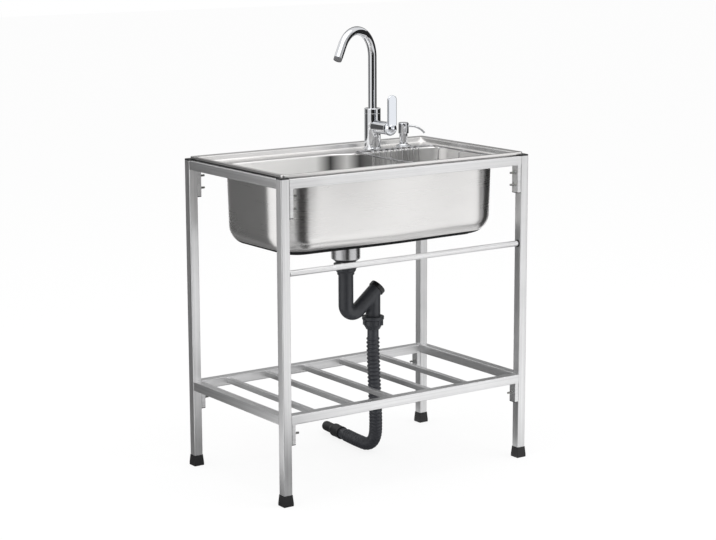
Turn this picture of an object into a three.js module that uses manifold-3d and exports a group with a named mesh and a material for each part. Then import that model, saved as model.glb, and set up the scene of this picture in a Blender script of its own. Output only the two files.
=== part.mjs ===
// Free-standing kitchen sink unit: a pressed steel single-bowl sink on a bolted square-tube stand,
// with a swivel mixer, a soap dispenser, a wire draining basket, a lift-out strainer, a black
// trap and a ribbed drain hose.
//
// Millimetres, +Z up. The origin is on the floor at the centre of the stand. +X runs along the
// front from left to right, and +Y from the front to the back.

import * as THREE from 'three';
import { mergeVertices } from 'three/addons/utils/BufferGeometryUtils.js';
import Module from 'manifold-3d';

const wasm = await Module();
wasm.setup();

// ---------------------------------------------------------------- driving dimensions

const fitGap = 0.3;          // between a piece and the seat, hole or sleeve that holds it
const turnSegments = 20;     // sides of a round piece

const stand = {
  width: 800,                // over the legs, along X
  depth: 480,                // over the legs, along Y
  railTop: 850,              // floor to the top of the upper rails
  tube: 25,                  // square tube of the legs and rails
  wall: 1.2,
  corner: 2,                 // outer corner radius of the tube
};

const foot = { height: 30, flare: 2.5, lip: 0.5, plug: 18 };
const cap = { height: 4, plug: 12 };

const shelf = {
  top: 240, barSize: 14, barWall: 1, barCorner: 1.5, barPitch: 126, barCount: 5,
  rightBarFromRight: 180,
};

const bracket = { thickness: 12, topDrop: 76, shelfDrop: 54, wall: 1.5 };

const bolt = {
  radius: 3, nutAcross: 10, nutHeight: 5, tail: 17, headHeight: 2.5,
  topDrops: [20, 53],        // below the upper rail
  shelfDrops: [26],          // below the shelf rail
};

const towelRail = { radius: 7.8, wall: 1, height: 608, fromFront: 12.5 };

const sink = {
  inset: 10,                 // legs' outer faces to the edge of the rim
  rimHeight: 6,
  rimFlat: 10,               // flat top of the raised rim
  rimWidth: 17,              // raised rim, out to where it drops to the deck
  rimCorner: 8,
  deckDrop: 15,              // rim top down to the deck
  stepRun: 4,                // sideways run of the drop from the rim to the deck
  wall: 1.2,
  bowlDepth: 209,            // deck to the inside of the bowl's bottom
  side: 32,                  // rim edge to the inside of the bowl, left and right
  front: 38,                 // the same at the front corners
  back: 98,                  // the same at the back, on the left
  frontBow: 9,               // how far the front wall bulges at its middle
  tapLedge: 27,              // how far the back wall stands forward beside the tap
  tapLedgeFromRight: 410,    // stand's right side to where the ledge begins
  tapLedgeRun: 90,
  frontCorner: 100,
  backCorner: 60,
  edgeRoll: 5,
  wallTaper: 4,
  filletRadius: 50,
};

const soundPad = { thickness: 3, inset: 0, holeGap: 3 };

const drain = { fromLeft: 342.5, fromFront: 215 };

const strainer = {
  radius: 39.5, flangeRadius: 56, flangeHeight: 1.6, wall: 1.4, height: 61,
  chamfer: 9, chamferRun: 11, outletRadius: 20, outletLength: 22, holeGap: 1.2,
  basketRadius: 35, basketDepth: 26, basketRim: 4, knobRadius: 8, knobHeight: 20,
};

const trap = {
  pipeRadius: 20.5, wall: 2.2, bendRadius: 24, riseAngle: 40, inletNutHeight: 31,
  inletNutTop: 33, inletNutMiddle: 30, inletNutBottom: 23.5,
  bendHeight: 454,           // floor to where the inlet pipe starts to bend
  cleanoutDistance: 140,     // along the rising pipe, from under the inlet to the end
  outletOffset: 90,          // inlet axis to outlet axis
  outletBottom: 392,
  outletNutFlange: 30.5, outletNutRadius: 28.5, outletNutEnd: 19, outletNutTop: 413,
  outletNutLength: 37, capRadius: 23, capLength: 13,
};

const hose = {
  straight: 45, radius: 18.5, groove: 16, bore: 13.2, ribPitch: 11, sides: 8, boreEvery: 5,
};

const cuff = { sleeveRadius: 19, sleeveLength: 44, taper: 10, spigotRadius: 14.5, spigotLength: 44, bore: 12 };

const tap = {
  fromRight: 238, fromBack: 82,
  baseRadius: 25.5, baseHeight: 6, radius: 23, height: 116, shankRadius: 16, shankLength: 42,
  holeRadius: 17.5, nutRadius: 26, nutHeight: 9,
  spoutTurn: 20,             // degrees that the spout points forward of straight left
  spoutRadius: 12, spoutWall: 1.6, spoutInsert: 16, spoutStraight: 258.5, spoutBend: 77.5,
  spoutBendAngle: 148.5, spoutBendSteps: 13, spoutEnd: 39, aeratorLength: 7,
  valveTurn: -90,            // degrees from +X to the valve's axis
  valveHeight: 65, valveRadius: 18, valveReach: 78, coreRadius: 14, coreDepth: 15,
  ballRadius: 17, ballCentre: 82, hoodWall: 2.4, hoodStart: 3.5,
  leverTop: 94, leverWidth: 30, leverThickness: 7, leverOffset: 8, leverRound: 12,
};

const soap = {
  fromRight: 130, fromBack: 82,
  flangeRadius: 23, flangeHeight: 3.5, flareHeight: 10, collarRadius: 11.6, collarHeight: 45,
  headRadius: 15, headBottom: 37, headTop: 68, headWall: 1.9,
  stemRadius: 4, stemBelow: 60, shankRadius: 12.5, shankLength: 40, holeRadius: 13.5,
  nutRadius: 21, nutHeight: 8, nozzleRadius: 3.6, nozzleReach: 60, nozzleDrop: 20, nozzleRise: 58,
  nozzleTurn: -38,           // degrees from +X
  bottleRadius: 31, bottleLength: 130, bottleNeck: 17, bottleNeckLength: 22,
  bottleShoulder: 14, bottleWall: 1.8,
};

const wireBasket = {
  leftFromRight: 336, rightFromRight: 64, fromFront: 34.8, fromBack: 123, wireRadius: 2.5, thinRadius: 1.9,
  depth: 92, ledge: 22, rimCorner: 26, bottomCorner: 36, endMargin: 45, bendRadius: 7,
  crossWires: 9, longWires: 3, rimSides: 6, sides: 4,
};

// ---------------------------------------------------------------- places worked out from them

const half = { x: stand.width / 2, y: stand.depth / 2 };
const fromLeft = (distance) => distance - half.x;
const fromFront = (distance) => distance - half.y;
const fromRight = (distance) => half.x - distance;
const fromBack = (distance) => half.y - distance;
const rimHalf = { x: half.x - sink.inset, y: half.y - sink.inset };
const rimBottom = stand.railTop + cap.height;
const rimTop = rimBottom + sink.rimHeight;
const deckTop = rimTop - sink.deckDrop;
const deckUnder = deckTop - sink.wall;
const bowlFloor = deckTop - sink.bowlDepth;
const bowlUnder = bowlFloor - sink.wall;
const padUnder = bowlUnder - soundPad.thickness;
const drainAt = new THREE.Vector2(fromLeft(drain.fromLeft), fromFront(drain.fromFront));
const strainerHole = strainer.radius + strainer.holeGap;
const strainerBottom = bowlFloor - strainer.height;
const strainerOutlet = strainerBottom - strainer.outletLength;
const tapAt = new THREE.Vector2(fromRight(tap.fromRight), fromBack(tap.fromBack));
const soapAt = new THREE.Vector2(fromRight(soap.fromRight), fromBack(soap.fromBack));

// ---------------------------------------------------------------- materials

const finish = (color, roughness, metalness) => new THREE.MeshStandardMaterial({ color, roughness, metalness });
const standSteel = () => finish(0xcfcecd, 0.32, 0.9);
const brushedSteel = () => finish(0xc2bfbd, 0.34, 0.9);
const chrome = () => finish(0xd9dadd, 0.06, 1.0);
const zincSteel = () => finish(0x9a9a98, 0.4, 0.9);
const blackPlastic = () => finish(0x1b1b1e, 0.45, 0.0);
const blackPad = () => finish(0x111112, 0.85, 0.0);
const whitePlastic = () => finish(0xe9e9e6, 0.5, 0.0);

// ---------------------------------------------------------------- solids

function toSolid(geometry) {
  const bare = geometry.clone();
  for (const name of Object.keys(bare.attributes)) {
    if (name !== 'position') bare.deleteAttribute(name);
  }
  const merged = mergeVertices(bare, 1e-4);
  return new wasm.Manifold(new wasm.Mesh({
    numProp: 3,
    vertProperties: Float32Array.from(merged.attributes.position.array),
    triVerts: Uint32Array.from(merged.index.array),
  }));
}

function toGeometry(solid) {
  const mesh = solid.getMesh();
  const geometry = new THREE.BufferGeometry();
  geometry.setAttribute('position', new THREE.BufferAttribute(Float32Array.from(mesh.vertProperties), 3));
  geometry.setIndex(new THREE.BufferAttribute(Uint32Array.from(mesh.triVerts), 1));
  return geometry;
}

const join = (...geometries) => toGeometry(geometries.map(toSolid).reduce((all, one) => all.add(one)));

function cut(geometry, ...tools) {
  const solid = tools.map(toSolid).reduce((rest, tool) => rest.subtract(tool), toSolid(geometry));
  return toGeometry(solid);
}

// A closed skin through rings that all hold the same number of points. The ends are capped with
// flat faces, or the last ring is joined to the first where the skin closes on itself.
function loft(rings, closesOnItself = false) {
  const count = rings[0].length;
  const positions = rings.flat().flatMap((point) => [point.x, point.y, point.z]);
  const triangles = [];
  const bands = closesOnItself ? rings.length : rings.length - 1;
  for (let band = 0; band < bands; band += 1) {
    const low = band * count;
    const high = ((band + 1) % rings.length) * count;
    for (let i = 0; i < count; i += 1) {
      const next = (i + 1) % count;
      triangles.push(low + i, low + next, high + next, low + i, high + next, high + i);
    }
  }
  if (!closesOnItself) {
    const last = (rings.length - 1) * count;
    for (let i = 1; i < count - 1; i += 1) {
      triangles.push(0, i + 1, i, last, last + i, last + i + 1);
    }
  }
  const geometry = new THREE.BufferGeometry();
  geometry.setAttribute('position', new THREE.Float32BufferAttribute(positions, 3));
  geometry.setIndex(triangles);
  return geometry;
}

// Turned about Z. The profile is a closed loop of [radius, z] pairs, or runs from axis to axis.
function turned(profile, segments = turnSegments) {
  const first = profile[0];
  const closed = profile.every(([radius]) => radius > 0);
  const loop = closed ? [...profile, first] : profile;
  const points = loop.map(([radius, z]) => new THREE.Vector2(radius, z));
  if (THREE.ShapeUtils.area(points) < 0) points.reverse();
  const geometry = new THREE.LatheGeometry(points, segments);
  return geometry.rotateX(Math.PI / 2);
}

const rod = (radius, low, high, segments = turnSegments) => turned(
  [[0, low], [radius, low], [radius, high], [0, high]], segments);

// Flat-sided nut with a round bore, hanging down from z = 0.
const nut = (sides, radius, bore, height) => cut(
  rod(radius, -height, 0, sides), rod(bore, -height - 1, 1));

function roundedRectangle(width, height, radius) {
  const shape = new THREE.Shape();
  const x = width / 2;
  const y = height / 2;
  shape.moveTo(-x + radius, -y);
  shape.lineTo(x - radius, -y);
  shape.absarc(x - radius, -y + radius, radius, -Math.PI / 2, 0, false);
  shape.lineTo(x, y - radius);
  shape.absarc(x - radius, y - radius, radius, 0, Math.PI / 2, false);
  shape.lineTo(-x + radius, y);
  shape.absarc(-x + radius, y - radius, radius, Math.PI / 2, Math.PI, false);
  shape.lineTo(-x, -y + radius);
  shape.absarc(-x + radius, -y + radius, radius, Math.PI, Math.PI * 1.5, false);
  return shape;
}

const extruded = (shape, depth, curveSegments = 3) => new THREE.ExtrudeGeometry(
  shape, { depth, bevelEnabled: false, curveSegments });

// Square tube, open at both ends, from z = 0 up.
function squareTube(length, size = stand.tube, wall = stand.wall, corner = stand.corner) {
  const outline = roundedRectangle(size, size, corner);
  const bore = size - 2 * wall;
  outline.holes.push(roundedRectangle(bore, bore, corner - wall / 2));
  return extruded(outline, length, 1);
}

const box = (low, high) => new THREE.BoxGeometry(high[0] - low[0], high[1] - low[1], high[2] - low[2])
  .translate((low[0] + high[0]) / 2, (low[1] + high[1]) / 2, (low[2] + high[2]) / 2);

// A line through the points, with each corner rounded by the radius in the given number of steps.
function roundedLine(points, radius, steps) {
  const line = [points[0]];
  for (let i = 1; i < points.length - 1; i += 1) {
    const arriving = points[i].clone().sub(points[i - 1]).normalize();
    const leaving = points[i + 1].clone().sub(points[i]).normalize();
    const turn = arriving.angleTo(leaving);
    const start = points[i].clone().addScaledVector(arriving, -radius * Math.tan(turn / 2));
    const inwards = leaving.clone().addScaledVector(arriving, -leaving.dot(arriving)).normalize();
    for (let step = 0; step <= steps; step += 1) {
      const angle = (step / steps) * turn;
      line.push(start.clone().addScaledVector(arriving, radius * Math.sin(angle))
        .addScaledVector(inwards, radius * (1 - Math.cos(angle))));
    }
  }
  line.push(points[points.length - 1]);
  return line;
}

// Rings of points square to a line, one at each of its points, without twist from one to the
// next. The radius is one number, or one for each point.
function ringsAlong(line, radius, sides, closesOnItself = false) {
  const count = line.length;
  let across = null;
  return line.map((centre, i) => {
    const before = line[closesOnItself ? (i + count - 1) % count : Math.max(i - 1, 0)];
    const after = line[closesOnItself ? (i + 1) % count : Math.min(i + 1, count - 1)];
    const arriving = centre.clone().sub(before).normalize();
    const leaving = after.clone().sub(centre).normalize();
    const along = arriving.add(leaving).normalize();
    if (!across) across = new THREE.Vector3(0, Math.abs(along.y) > 0.9 ? 0 : 1, Math.abs(along.y) > 0.9 ? 1 : 0);
    across = across.clone().addScaledVector(along, -across.dot(along)).normalize();
    const other = along.clone().cross(across);
    const size = Array.isArray(radius) ? radius[i] : radius;
    return Array.from({ length: sides }, (unused, k) => {
      const angle = ((k + 0.5) / sides) * Math.PI * 2;
      return centre.clone().addScaledVector(across, size * Math.cos(angle))
        .addScaledVector(other, size * Math.sin(angle));
    });
  });
}

// Round bar along a line, or a tube where there is a bore.
function barAlong(line, radius, sides, bore = 0) {
  const outside = ringsAlong(line, radius, sides);
  if (bore === 0) return loft(outside);
  return loft([...outside, ...ringsAlong(line, bore, sides).reverse()], true);
}

// ---------------------------------------------------------------- the assembly

const unit = new THREE.Group();

function place(name, geometry, material, at = [0, 0, 0], parent = unit) {
  const mesh = new THREE.Mesh(geometry, material);
  mesh.name = name;
  mesh.position.set(...at);
  parent.add(mesh);
  return mesh;
}

// ---------------------------------------------------------------- legs, feet and caps

const legs = [
  { side: 'front_left', x: -half.x + stand.tube / 2, y: -half.y + stand.tube / 2, inward: 1 },
  { side: 'front_right', x: half.x - stand.tube / 2, y: -half.y + stand.tube / 2, inward: -1 },
  { side: 'back_left', x: -half.x + stand.tube / 2, y: half.y - stand.tube / 2, inward: 1 },
  { side: 'back_right', x: half.x - stand.tube / 2, y: half.y - stand.tube / 2, inward: -1 },
];

const shelfBottom = shelf.top - stand.tube;
const upperRailBottom = stand.railTop - stand.tube;
const boltHeights = [
  ...bolt.topDrops.map((drop, i) => ({ name: `upper_bolt_${i + 1}`, z: upperRailBottom - drop })),
  ...bolt.shelfDrops.map((drop) => ({ name: 'shelf_bolt', z: shelfBottom - drop })),
];

// A rod along X, from x = low to x = high.
const crossRod = (radius, low, high, segments) => rod(radius, low, high, segments).rotateY(Math.PI / 2);

function legTube(inward) {
  const holes = boltHeights.map(({ z }) => crossRod(bolt.radius + fitGap, 0, stand.tube, 8)
    .translate(inward > 0 ? 0 : -stand.tube, 0, z - foot.height));
  return cut(squareTube(stand.railTop - foot.height), ...holes);
}

// Four-sided frustum or block, turned in four steps: sizes are full widths across the flats.
function squareTurned(profile) {
  const points = profile.map(([width, z]) => [(width / 2) * Math.SQRT2, z]);
  return turned(points, 4).rotateZ(Math.PI / 4);
}

function footBlock() {
  const wide = stand.tube + 2 * foot.flare;
  const narrow = stand.tube + 2 * foot.lip;
  const plug = stand.tube - 2 * stand.wall - 2 * fitGap - 0.8;
  return squareTurned([[0, 0], [wide, 0], [wide, foot.height * 0.25], [narrow, foot.height],
    [plug, foot.height], [plug, foot.height + foot.plug], [0, foot.height + foot.plug]]);
}

function capBlock() {
  const plug = stand.tube - 2 * stand.wall - 2 * fitGap - 0.8;
  return squareTurned([[0, -cap.plug], [plug, -cap.plug], [plug, 0], [stand.tube, 0],
    [stand.tube, cap.height], [0, cap.height]]);
}

for (const leg of legs) {
  place(`leg_${leg.side}`, legTube(leg.inward), standSteel(), [leg.x, leg.y, foot.height]);
  place(`foot_${leg.side}`, footBlock(), blackPlastic(), [leg.x, leg.y, 0]);
  place(`leg_cap_${leg.side}`, capBlock(), blackPlastic(), [leg.x, leg.y, stand.railTop]);
}

// ---------------------------------------------------------------- rails

const sideRailLength = stand.depth - 2 * stand.tube;
const longRailLength = stand.width - 2 * stand.tube;

function sideRail(name, x, top) {
  const tube = squareTube(sideRailLength).rotateX(-Math.PI / 2);
  place(name, tube, standSteel(), [x, -sideRailLength / 2, top - stand.tube / 2]);
}

// A front or back rail: a tube along X with a channel bracket welded under each end, which the
// bolts hold against the leg.
function longRail(name, y, top, drop, drops) {
  const tube = squareTube(longRailLength).rotateY(Math.PI / 2).translate(-longRailLength / 2, 0, -stand.tube / 2);
  const channel = [-1, 1].map((end) => {
    const legFace = end * longRailLength / 2;
    const inner = legFace - end * bracket.thickness;
    const low = Math.min(legFace, inner);
    const outer = box([low, -stand.tube / 2, -stand.tube - drop],
      [low + bracket.thickness, stand.tube / 2, -stand.tube + bracket.wall]);
    const hollow = box([low + bracket.wall, -stand.tube / 2 + bracket.wall, -stand.tube - drop - 1],
      [low + bracket.thickness - bracket.wall, stand.tube / 2 - bracket.wall, -stand.tube - bracket.wall]);
    const holes = drops.map((down) => crossRod(bolt.radius + fitGap, low - 1, low + bracket.thickness + 1, 8)
      .translate(0, 0, -stand.tube - down));
    return cut(outer, hollow, ...holes);
  });
  place(name, join(tube, ...channel), standSteel(), [0, y, top]);
}

sideRail('upper_rail_left', -half.x + stand.tube / 2, stand.railTop);
sideRail('upper_rail_right', half.x - stand.tube / 2, stand.railTop);
sideRail('shelf_rail_left', -half.x + stand.tube / 2, shelf.top);
sideRail('shelf_rail_right', half.x - stand.tube / 2, shelf.top);

for (const [side, y] of [['front', -half.y + stand.tube / 2], ['back', half.y - stand.tube / 2]]) {
  longRail(`upper_rail_${side}`, y, stand.railTop, bracket.topDrop, bolt.topDrops);
  longRail(`shelf_rail_${side}`, y, shelf.top, bracket.shelfDrop, bolt.shelfDrops);
}

// ---------------------------------------------------------------- bolts

// Bolt with its nut: a flat head inside the leg, the nut against the bracket, and a bare tail.
// It points along +X, with x = 0 on the leg's inner face.
function frameBolt() {
  const headEnd = -stand.wall - bolt.headHeight;
  const nutSeat = bracket.thickness;
  const hex = (low, high) => crossRod(bolt.nutAcross / Math.sqrt(3), low, high, 6);
  return join(crossRod(bolt.radius, headEnd + 1, nutSeat + bolt.tail, 8),
    hex(headEnd, -stand.wall), hex(nutSeat, nutSeat + bolt.nutHeight));
}

for (const leg of legs) {
  for (const { name, z } of boltHeights) {
    const mesh = place(`${name}_${leg.side}`, frameBolt(), zincSteel(),
      [leg.x + leg.inward * stand.tube / 2, leg.y, z]);
    mesh.rotation.z = leg.inward > 0 ? 0 : Math.PI;
  }
}

// ---------------------------------------------------------------- shelf bars and towel rail

const barLength = stand.depth - 2 * stand.tube;
for (let i = 0; i < shelf.barCount; i += 1) {
  const x = half.x - shelf.rightBarFromRight - (shelf.barCount - 1 - i) * shelf.barPitch;
  const bar = squareTube(barLength, shelf.barSize, shelf.barWall, shelf.barCorner).rotateX(-Math.PI / 2);
  place(`shelf_bar_${i + 1}`, bar, standSteel(), [x, -barLength / 2, shelf.top - stand.tube / 2]);
}

{
  const length = longRailLength;
  const tube = turned([[towelRail.radius, 0], [towelRail.radius, length],
    [towelRail.radius - towelRail.wall, length], [towelRail.radius - towelRail.wall, 0]], 16);
  place('towel_rail', tube.rotateY(Math.PI / 2), standSteel(),
    [-length / 2, -half.y + towelRail.fromFront, towelRail.height]);
}

// ---------------------------------------------------------------- sink

const cornerSteps = 5;
const longSteps = 10;
const shortSteps = 3;

// Closed outline in plan, seen from above and running anticlockwise from the front left corner.
// bow bulges the front forward, and ledge brings the back forward on the right of ledgeFrom.
function planOutline({ left, right, front, back, frontRadius, backRadius, bow = 0, ledge = 0, ledgeFrom = 0 }) {
  const points = [];
  const backAt = (x) => back - ledge * THREE.MathUtils.smoothstep(x, ledgeFrom, ledgeFrom + sink.tapLedgeRun);
  const corner = (centreX, centreY, radius, start) => {
    for (let i = 0; i < cornerSteps; i += 1) {
      const angle = start + (i / cornerSteps) * (Math.PI / 2);
      points.push([centreX + radius * Math.cos(angle), centreY + radius * Math.sin(angle)]);
    }
  };
  const line = (from, to, steps, y) => {
    for (let i = 0; i < steps; i += 1) {
      const t = i / steps;
      const x = from[0] + (to[0] - from[0]) * t;
      points.push([x, y ? y(x, t) : from[1] + (to[1] - from[1]) * t]);
    }
  };
  corner(left + frontRadius, front + frontRadius, frontRadius, Math.PI);
  line([left + frontRadius, front], [right - frontRadius, front], longSteps,
    (x, t) => front - bow * Math.sin(Math.PI * t) ** 2);
  corner(right - frontRadius, front + frontRadius, frontRadius, -Math.PI / 2);
  line([right, front + frontRadius], [right, backAt(right) - backRadius], shortSteps);
  corner(right - backRadius, backAt(right) - backRadius, backRadius, 0);
  line([right - backRadius, back], [left + backRadius, back], longSteps, (x) => backAt(x));
  corner(left + backRadius, back - backRadius, backRadius, Math.PI / 2);
  line([left, back - backRadius], [left, front + frontRadius], shortSteps);
  return points;
}

const rimOutline = (inset) => planOutline({
  left: -rimHalf.x + inset,
  right: rimHalf.x - inset,
  front: -rimHalf.y + inset,
  back: rimHalf.y - inset,
  frontRadius: Math.max(sink.rimCorner - inset / 2, 2),
  backRadius: Math.max(sink.rimCorner - inset / 2, 2),
});

// The bowl's outline, grown (positive) or shrunk (negative) from the inside of its upper edge.
const bowlOutline = (grow) => planOutline({
  left: -rimHalf.x + sink.side - grow,
  right: rimHalf.x - sink.side + grow,
  front: -rimHalf.y + sink.front - grow,
  back: rimHalf.y - sink.back + grow,
  frontRadius: sink.frontCorner + grow,
  backRadius: sink.backCorner + grow,
  bow: sink.frontBow,
  ledge: sink.tapLedge,
  ledgeFrom: fromRight(sink.tapLedgeFromRight),
});

// A circle about the drain whose points stand opposite the bowl outline's points.
const drainCircle = (radius) => bowlOutline(0).map(([x, y]) => {
  const angle = Math.atan2(y - drainAt.y, x - drainAt.x);
  return [drainAt.x + radius * Math.cos(angle), drainAt.y + radius * Math.sin(angle)];
});

const atHeight = (outline, z) => outline.map(([x, y]) => new THREE.Vector3(x, y, z));

function bowlSkin(thickness) {
  const rings = [];
  const wallFoot = bowlFloor + sink.filletRadius;
  const filletSteps = 4;
  const rolls = [[1, 0], [0.3, 0.3], [0, 1]];
  for (const [out, down] of rolls) {
    const inner = Math.max(out * sink.edgeRoll, thickness);
    rings.push(atHeight(bowlOutline(thickness > 0 ? inner : out * sink.edgeRoll),
      deckTop - thickness - down * sink.edgeRoll * (thickness > 0 ? 0.8 : 1)));
  }
  for (let i = 0; i <= filletSteps; i += 1) {
    const angle = (i / filletSteps) * (Math.PI / 2);
    const inward = sink.wallTaper + (sink.filletRadius + thickness) * (1 - Math.cos(angle)) - thickness;
    const z = wallFoot - (sink.filletRadius + thickness) * Math.sin(angle);
    rings.push(atHeight(bowlOutline(-inward), z));
  }
  rings.push(atHeight(drainCircle(strainerHole), bowlFloor - thickness));
  return rings;
}

function sinkPressing() {
  const stepStart = sink.rimWidth;
  const stepEnd = sink.rimWidth + sink.stepRun;
  const top = [
    atHeight(rimOutline(0), rimBottom),
    atHeight(rimOutline(0), rimTop - 1),
    atHeight(rimOutline(1), rimTop),
    atHeight(rimOutline(sink.rimFlat), rimTop),
    atHeight(rimOutline(stepStart), rimTop - 2.5),
    atHeight(rimOutline(stepEnd), deckTop + 1),
    atHeight(rimOutline(stepEnd + 1), deckTop),
    ...bowlSkin(0),
  ];
  const under = [
    ...bowlSkin(sink.wall).reverse(),
    atHeight(rimOutline(stepEnd + 0.5), deckUnder),
    atHeight(rimOutline(stepEnd - sink.wall), deckUnder + 0.8),
    atHeight(rimOutline(stepStart - sink.wall), rimBottom),
  ];
  const skin = loft([...top, ...under], true);
  const tapHole = rod(tap.holeRadius, deckUnder - 5, deckTop + 5).translate(tapAt.x, tapAt.y, 0);
  const soapHole = rod(soap.holeRadius, deckUnder - 5, deckTop + 5).translate(soapAt.x, soapAt.y, 0);
  return cut(skin, tapHole, soapHole);
}

place('sink', sinkPressing(), brushedSteel());

{
  const outline = bowlOutline(-(sink.wallTaper + sink.filletRadius + soundPad.inset));
  const shape = new THREE.Shape(outline.map(([x, y]) => new THREE.Vector2(x, y)));
  const hole = new THREE.Path();
  hole.absarc(drainAt.x, drainAt.y, strainer.radius + soundPad.holeGap, 0, Math.PI * 2, true);
  shape.holes.push(hole);
  place('sound_pad', extruded(shape, soundPad.thickness, turnSegments / 2), blackPad(), [0, 0, padUnder]);
}

// ---------------------------------------------------------------- strainer

const drainGroup = new THREE.Group();
drainGroup.position.set(drainAt.x, drainAt.y, 0);
unit.add(drainGroup);

const strainerSeat = bowlFloor + 0.05;
{
  const s = strainer;
  const inner = s.radius - s.wall;
  const body = turned([
    [s.flangeRadius, strainerSeat],
    [s.flangeRadius - 2, strainerSeat + s.flangeHeight],
    [inner + 4, strainerSeat + s.flangeHeight],
    [inner, strainerSeat - 3],
    [inner, strainerBottom + s.chamfer],
    [inner - s.chamferRun, strainerBottom + s.wall],
    [s.outletRadius - s.wall, strainerBottom + s.wall],
    [s.outletRadius - s.wall, strainerOutlet],
    [s.outletRadius, strainerOutlet],
    [s.outletRadius, strainerBottom],
    [s.radius - s.chamferRun, strainerBottom],
    [s.radius, strainerBottom + s.chamfer],
    [s.radius, strainerSeat],
  ]);
  place('strainer_body', body, brushedSteel(), [0, 0, 0], drainGroup);

  // Lift-out cup with a rim that rests in the mouth of the body, and a knob on a stem.
  const rimZ = strainerSeat + s.flangeHeight;
  const seatRadius = inner + 4 + fitGap;
  const cupTop = rimZ + fitGap;
  const cup = turned([
    [0, rimZ - s.basketDepth],
    [s.basketRadius - 5, rimZ - s.basketDepth],
    [s.basketRadius, rimZ - s.basketDepth + 5],
    [s.basketRadius, cupTop],
    [seatRadius + s.basketRim, cupTop],
    [seatRadius + s.basketRim - 1, cupTop + 1.4],
    [s.basketRadius - 1.2, cupTop + 1.4],
    [s.basketRadius - 1.2, rimZ - s.basketDepth + 5.5],
    [s.basketRadius - 5.5, rimZ - s.basketDepth + 1.2],
    [3, rimZ - s.basketDepth + 1.2],
    [3, rimZ - s.basketDepth + s.knobHeight],
    [s.knobRadius, rimZ - s.basketDepth + s.knobHeight + 2],
    [s.knobRadius - 1, rimZ - s.basketDepth + s.knobHeight + 8],
    [0, rimZ - s.basketDepth + s.knobHeight + 9],
  ], turnSegments);
  place('strainer_basket', cup, brushedSteel(), [0, 0, 0], drainGroup);
}

// ---------------------------------------------------------------- trap

const pipeTop = strainerOutlet - fitGap;
const rise = THREE.MathUtils.degToRad(trap.riseAngle);
const turnPoint = trap.bendHeight - trap.bendRadius * Math.tan((Math.PI / 2 + rise) / 2);
const alongRise = (distance) => new THREE.Vector3(
  distance * Math.cos(rise), 0, turnPoint + distance * Math.sin(rise));

{
  const t = trap;
  const bore = t.pipeRadius - t.wall;
  const route = (extra) => roundedLine([
    new THREE.Vector3(0, 0, pipeTop + extra),
    new THREE.Vector3(0, 0, turnPoint),
    alongRise(t.cleanoutDistance + extra),
  ], t.bendRadius, 7);
  const outletHigh = turnPoint + t.outletOffset * Math.tan(rise);
  const solid = join(barAlong(route(0), t.pipeRadius, 18),
    rod(t.pipeRadius, t.outletBottom, outletHigh, 18).translate(t.outletOffset, 0, 0));
  const hollow = join(barAlong(route(1), bore, 12),
    rod(bore, t.outletBottom - 1, outletHigh, 12).translate(t.outletOffset, 0, 0));
  place('trap', cut(solid, hollow), blackPlastic(), [0, 0, 0], drainGroup);

  // Nut that joins the strainer's outlet and the trap's inlet, in two steps.
  const nutTop = strainerBottom - 5;
  const nutBottom = nutTop - t.inletNutHeight;
  const nutBore = Math.max(strainer.outletRadius, t.pipeRadius) + fitGap;
  place('inlet_nut', turned([
    [nutBore, nutTop], [t.inletNutTop, nutTop], [t.inletNutTop, nutTop - 6],
    [t.inletNutMiddle, nutTop - 14], [t.inletNutMiddle - 2, nutTop - 20],
    [t.inletNutBottom, nutBottom + 5], [t.inletNutBottom, nutBottom], [nutBore, nutBottom],
  ]), blackPlastic(), [0, 0, 0], drainGroup);

  // Screw cap over the raised end of the pipe.
  const capEnd = t.cleanoutDistance + 2.5;
  const cleanout = turned([
    [0, capEnd - 5], [bore - 1, capEnd - 5], [bore - 1, capEnd - 2.2],
    [t.pipeRadius + fitGap, capEnd - 2.2], [t.pipeRadius + fitGap, capEnd - t.capLength],
    [t.capRadius, capEnd - t.capLength], [t.capRadius, capEnd], [0, capEnd],
  ]);
  const capMesh = place('cleanout_cap', cleanout, blackPlastic(), [0, 0, turnPoint], drainGroup);
  capMesh.rotation.y = Math.PI / 2 - rise;

  // Nut that holds the hose under the outlet.
  const outletNutBottom = t.outletNutTop - t.outletNutLength;
  const outletBore = t.pipeRadius + fitGap;
  place('outlet_nut', turned([
    [outletBore, t.outletNutTop], [t.outletNutFlange, t.outletNutTop],
    [t.outletNutFlange, t.outletNutTop - 10], [t.outletNutRadius, t.outletNutTop - 11],
    [t.outletNutRadius, outletNutBottom + 11], [t.outletNutEnd, outletNutBottom],
    [hose.bore, outletNutBottom], [hose.bore, t.outletBottom - 4],
    [outletBore, t.outletBottom - fitGap],
  ]), blackPlastic(), [t.outletOffset, 0, 0], drainGroup);
}

// ---------------------------------------------------------------- ribbed hose and its cuff

const hoseStart = new THREE.Vector3(
  drainAt.x + trap.outletOffset, drainAt.y, trap.outletNutTop - trap.outletNutLength - fitGap);
const floorLine = hose.radius + 0.6;
const hoseRoute = [
  hoseStart,
  new THREE.Vector3(hoseStart.x, hoseStart.y, hoseStart.z - hose.straight),
  new THREE.Vector3(34, -25, 280),
  new THREE.Vector3(37, -24.5, 220),
  new THREE.Vector3(42, -20.5, 170),
  new THREE.Vector3(49, -13.5, 130),
  new THREE.Vector3(57.5, -2, 93),
  new THREE.Vector3(66, 12, 65),
  new THREE.Vector3(72, 29, 43),
  new THREE.Vector3(75.5, 50, 27),
  new THREE.Vector3(76, 73, floorLine),
  new THREE.Vector3(75, 98, floorLine),
  new THREE.Vector3(76.5, 130, floorLine),
  new THREE.Vector3(80, 165, floorLine),
  new THREE.Vector3(83, 200, floorLine),
];
const hoseCurve = new THREE.CatmullRomCurve3(hoseRoute, false, 'centripetal');
hoseCurve.arcLengthDivisions = 400;

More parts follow.
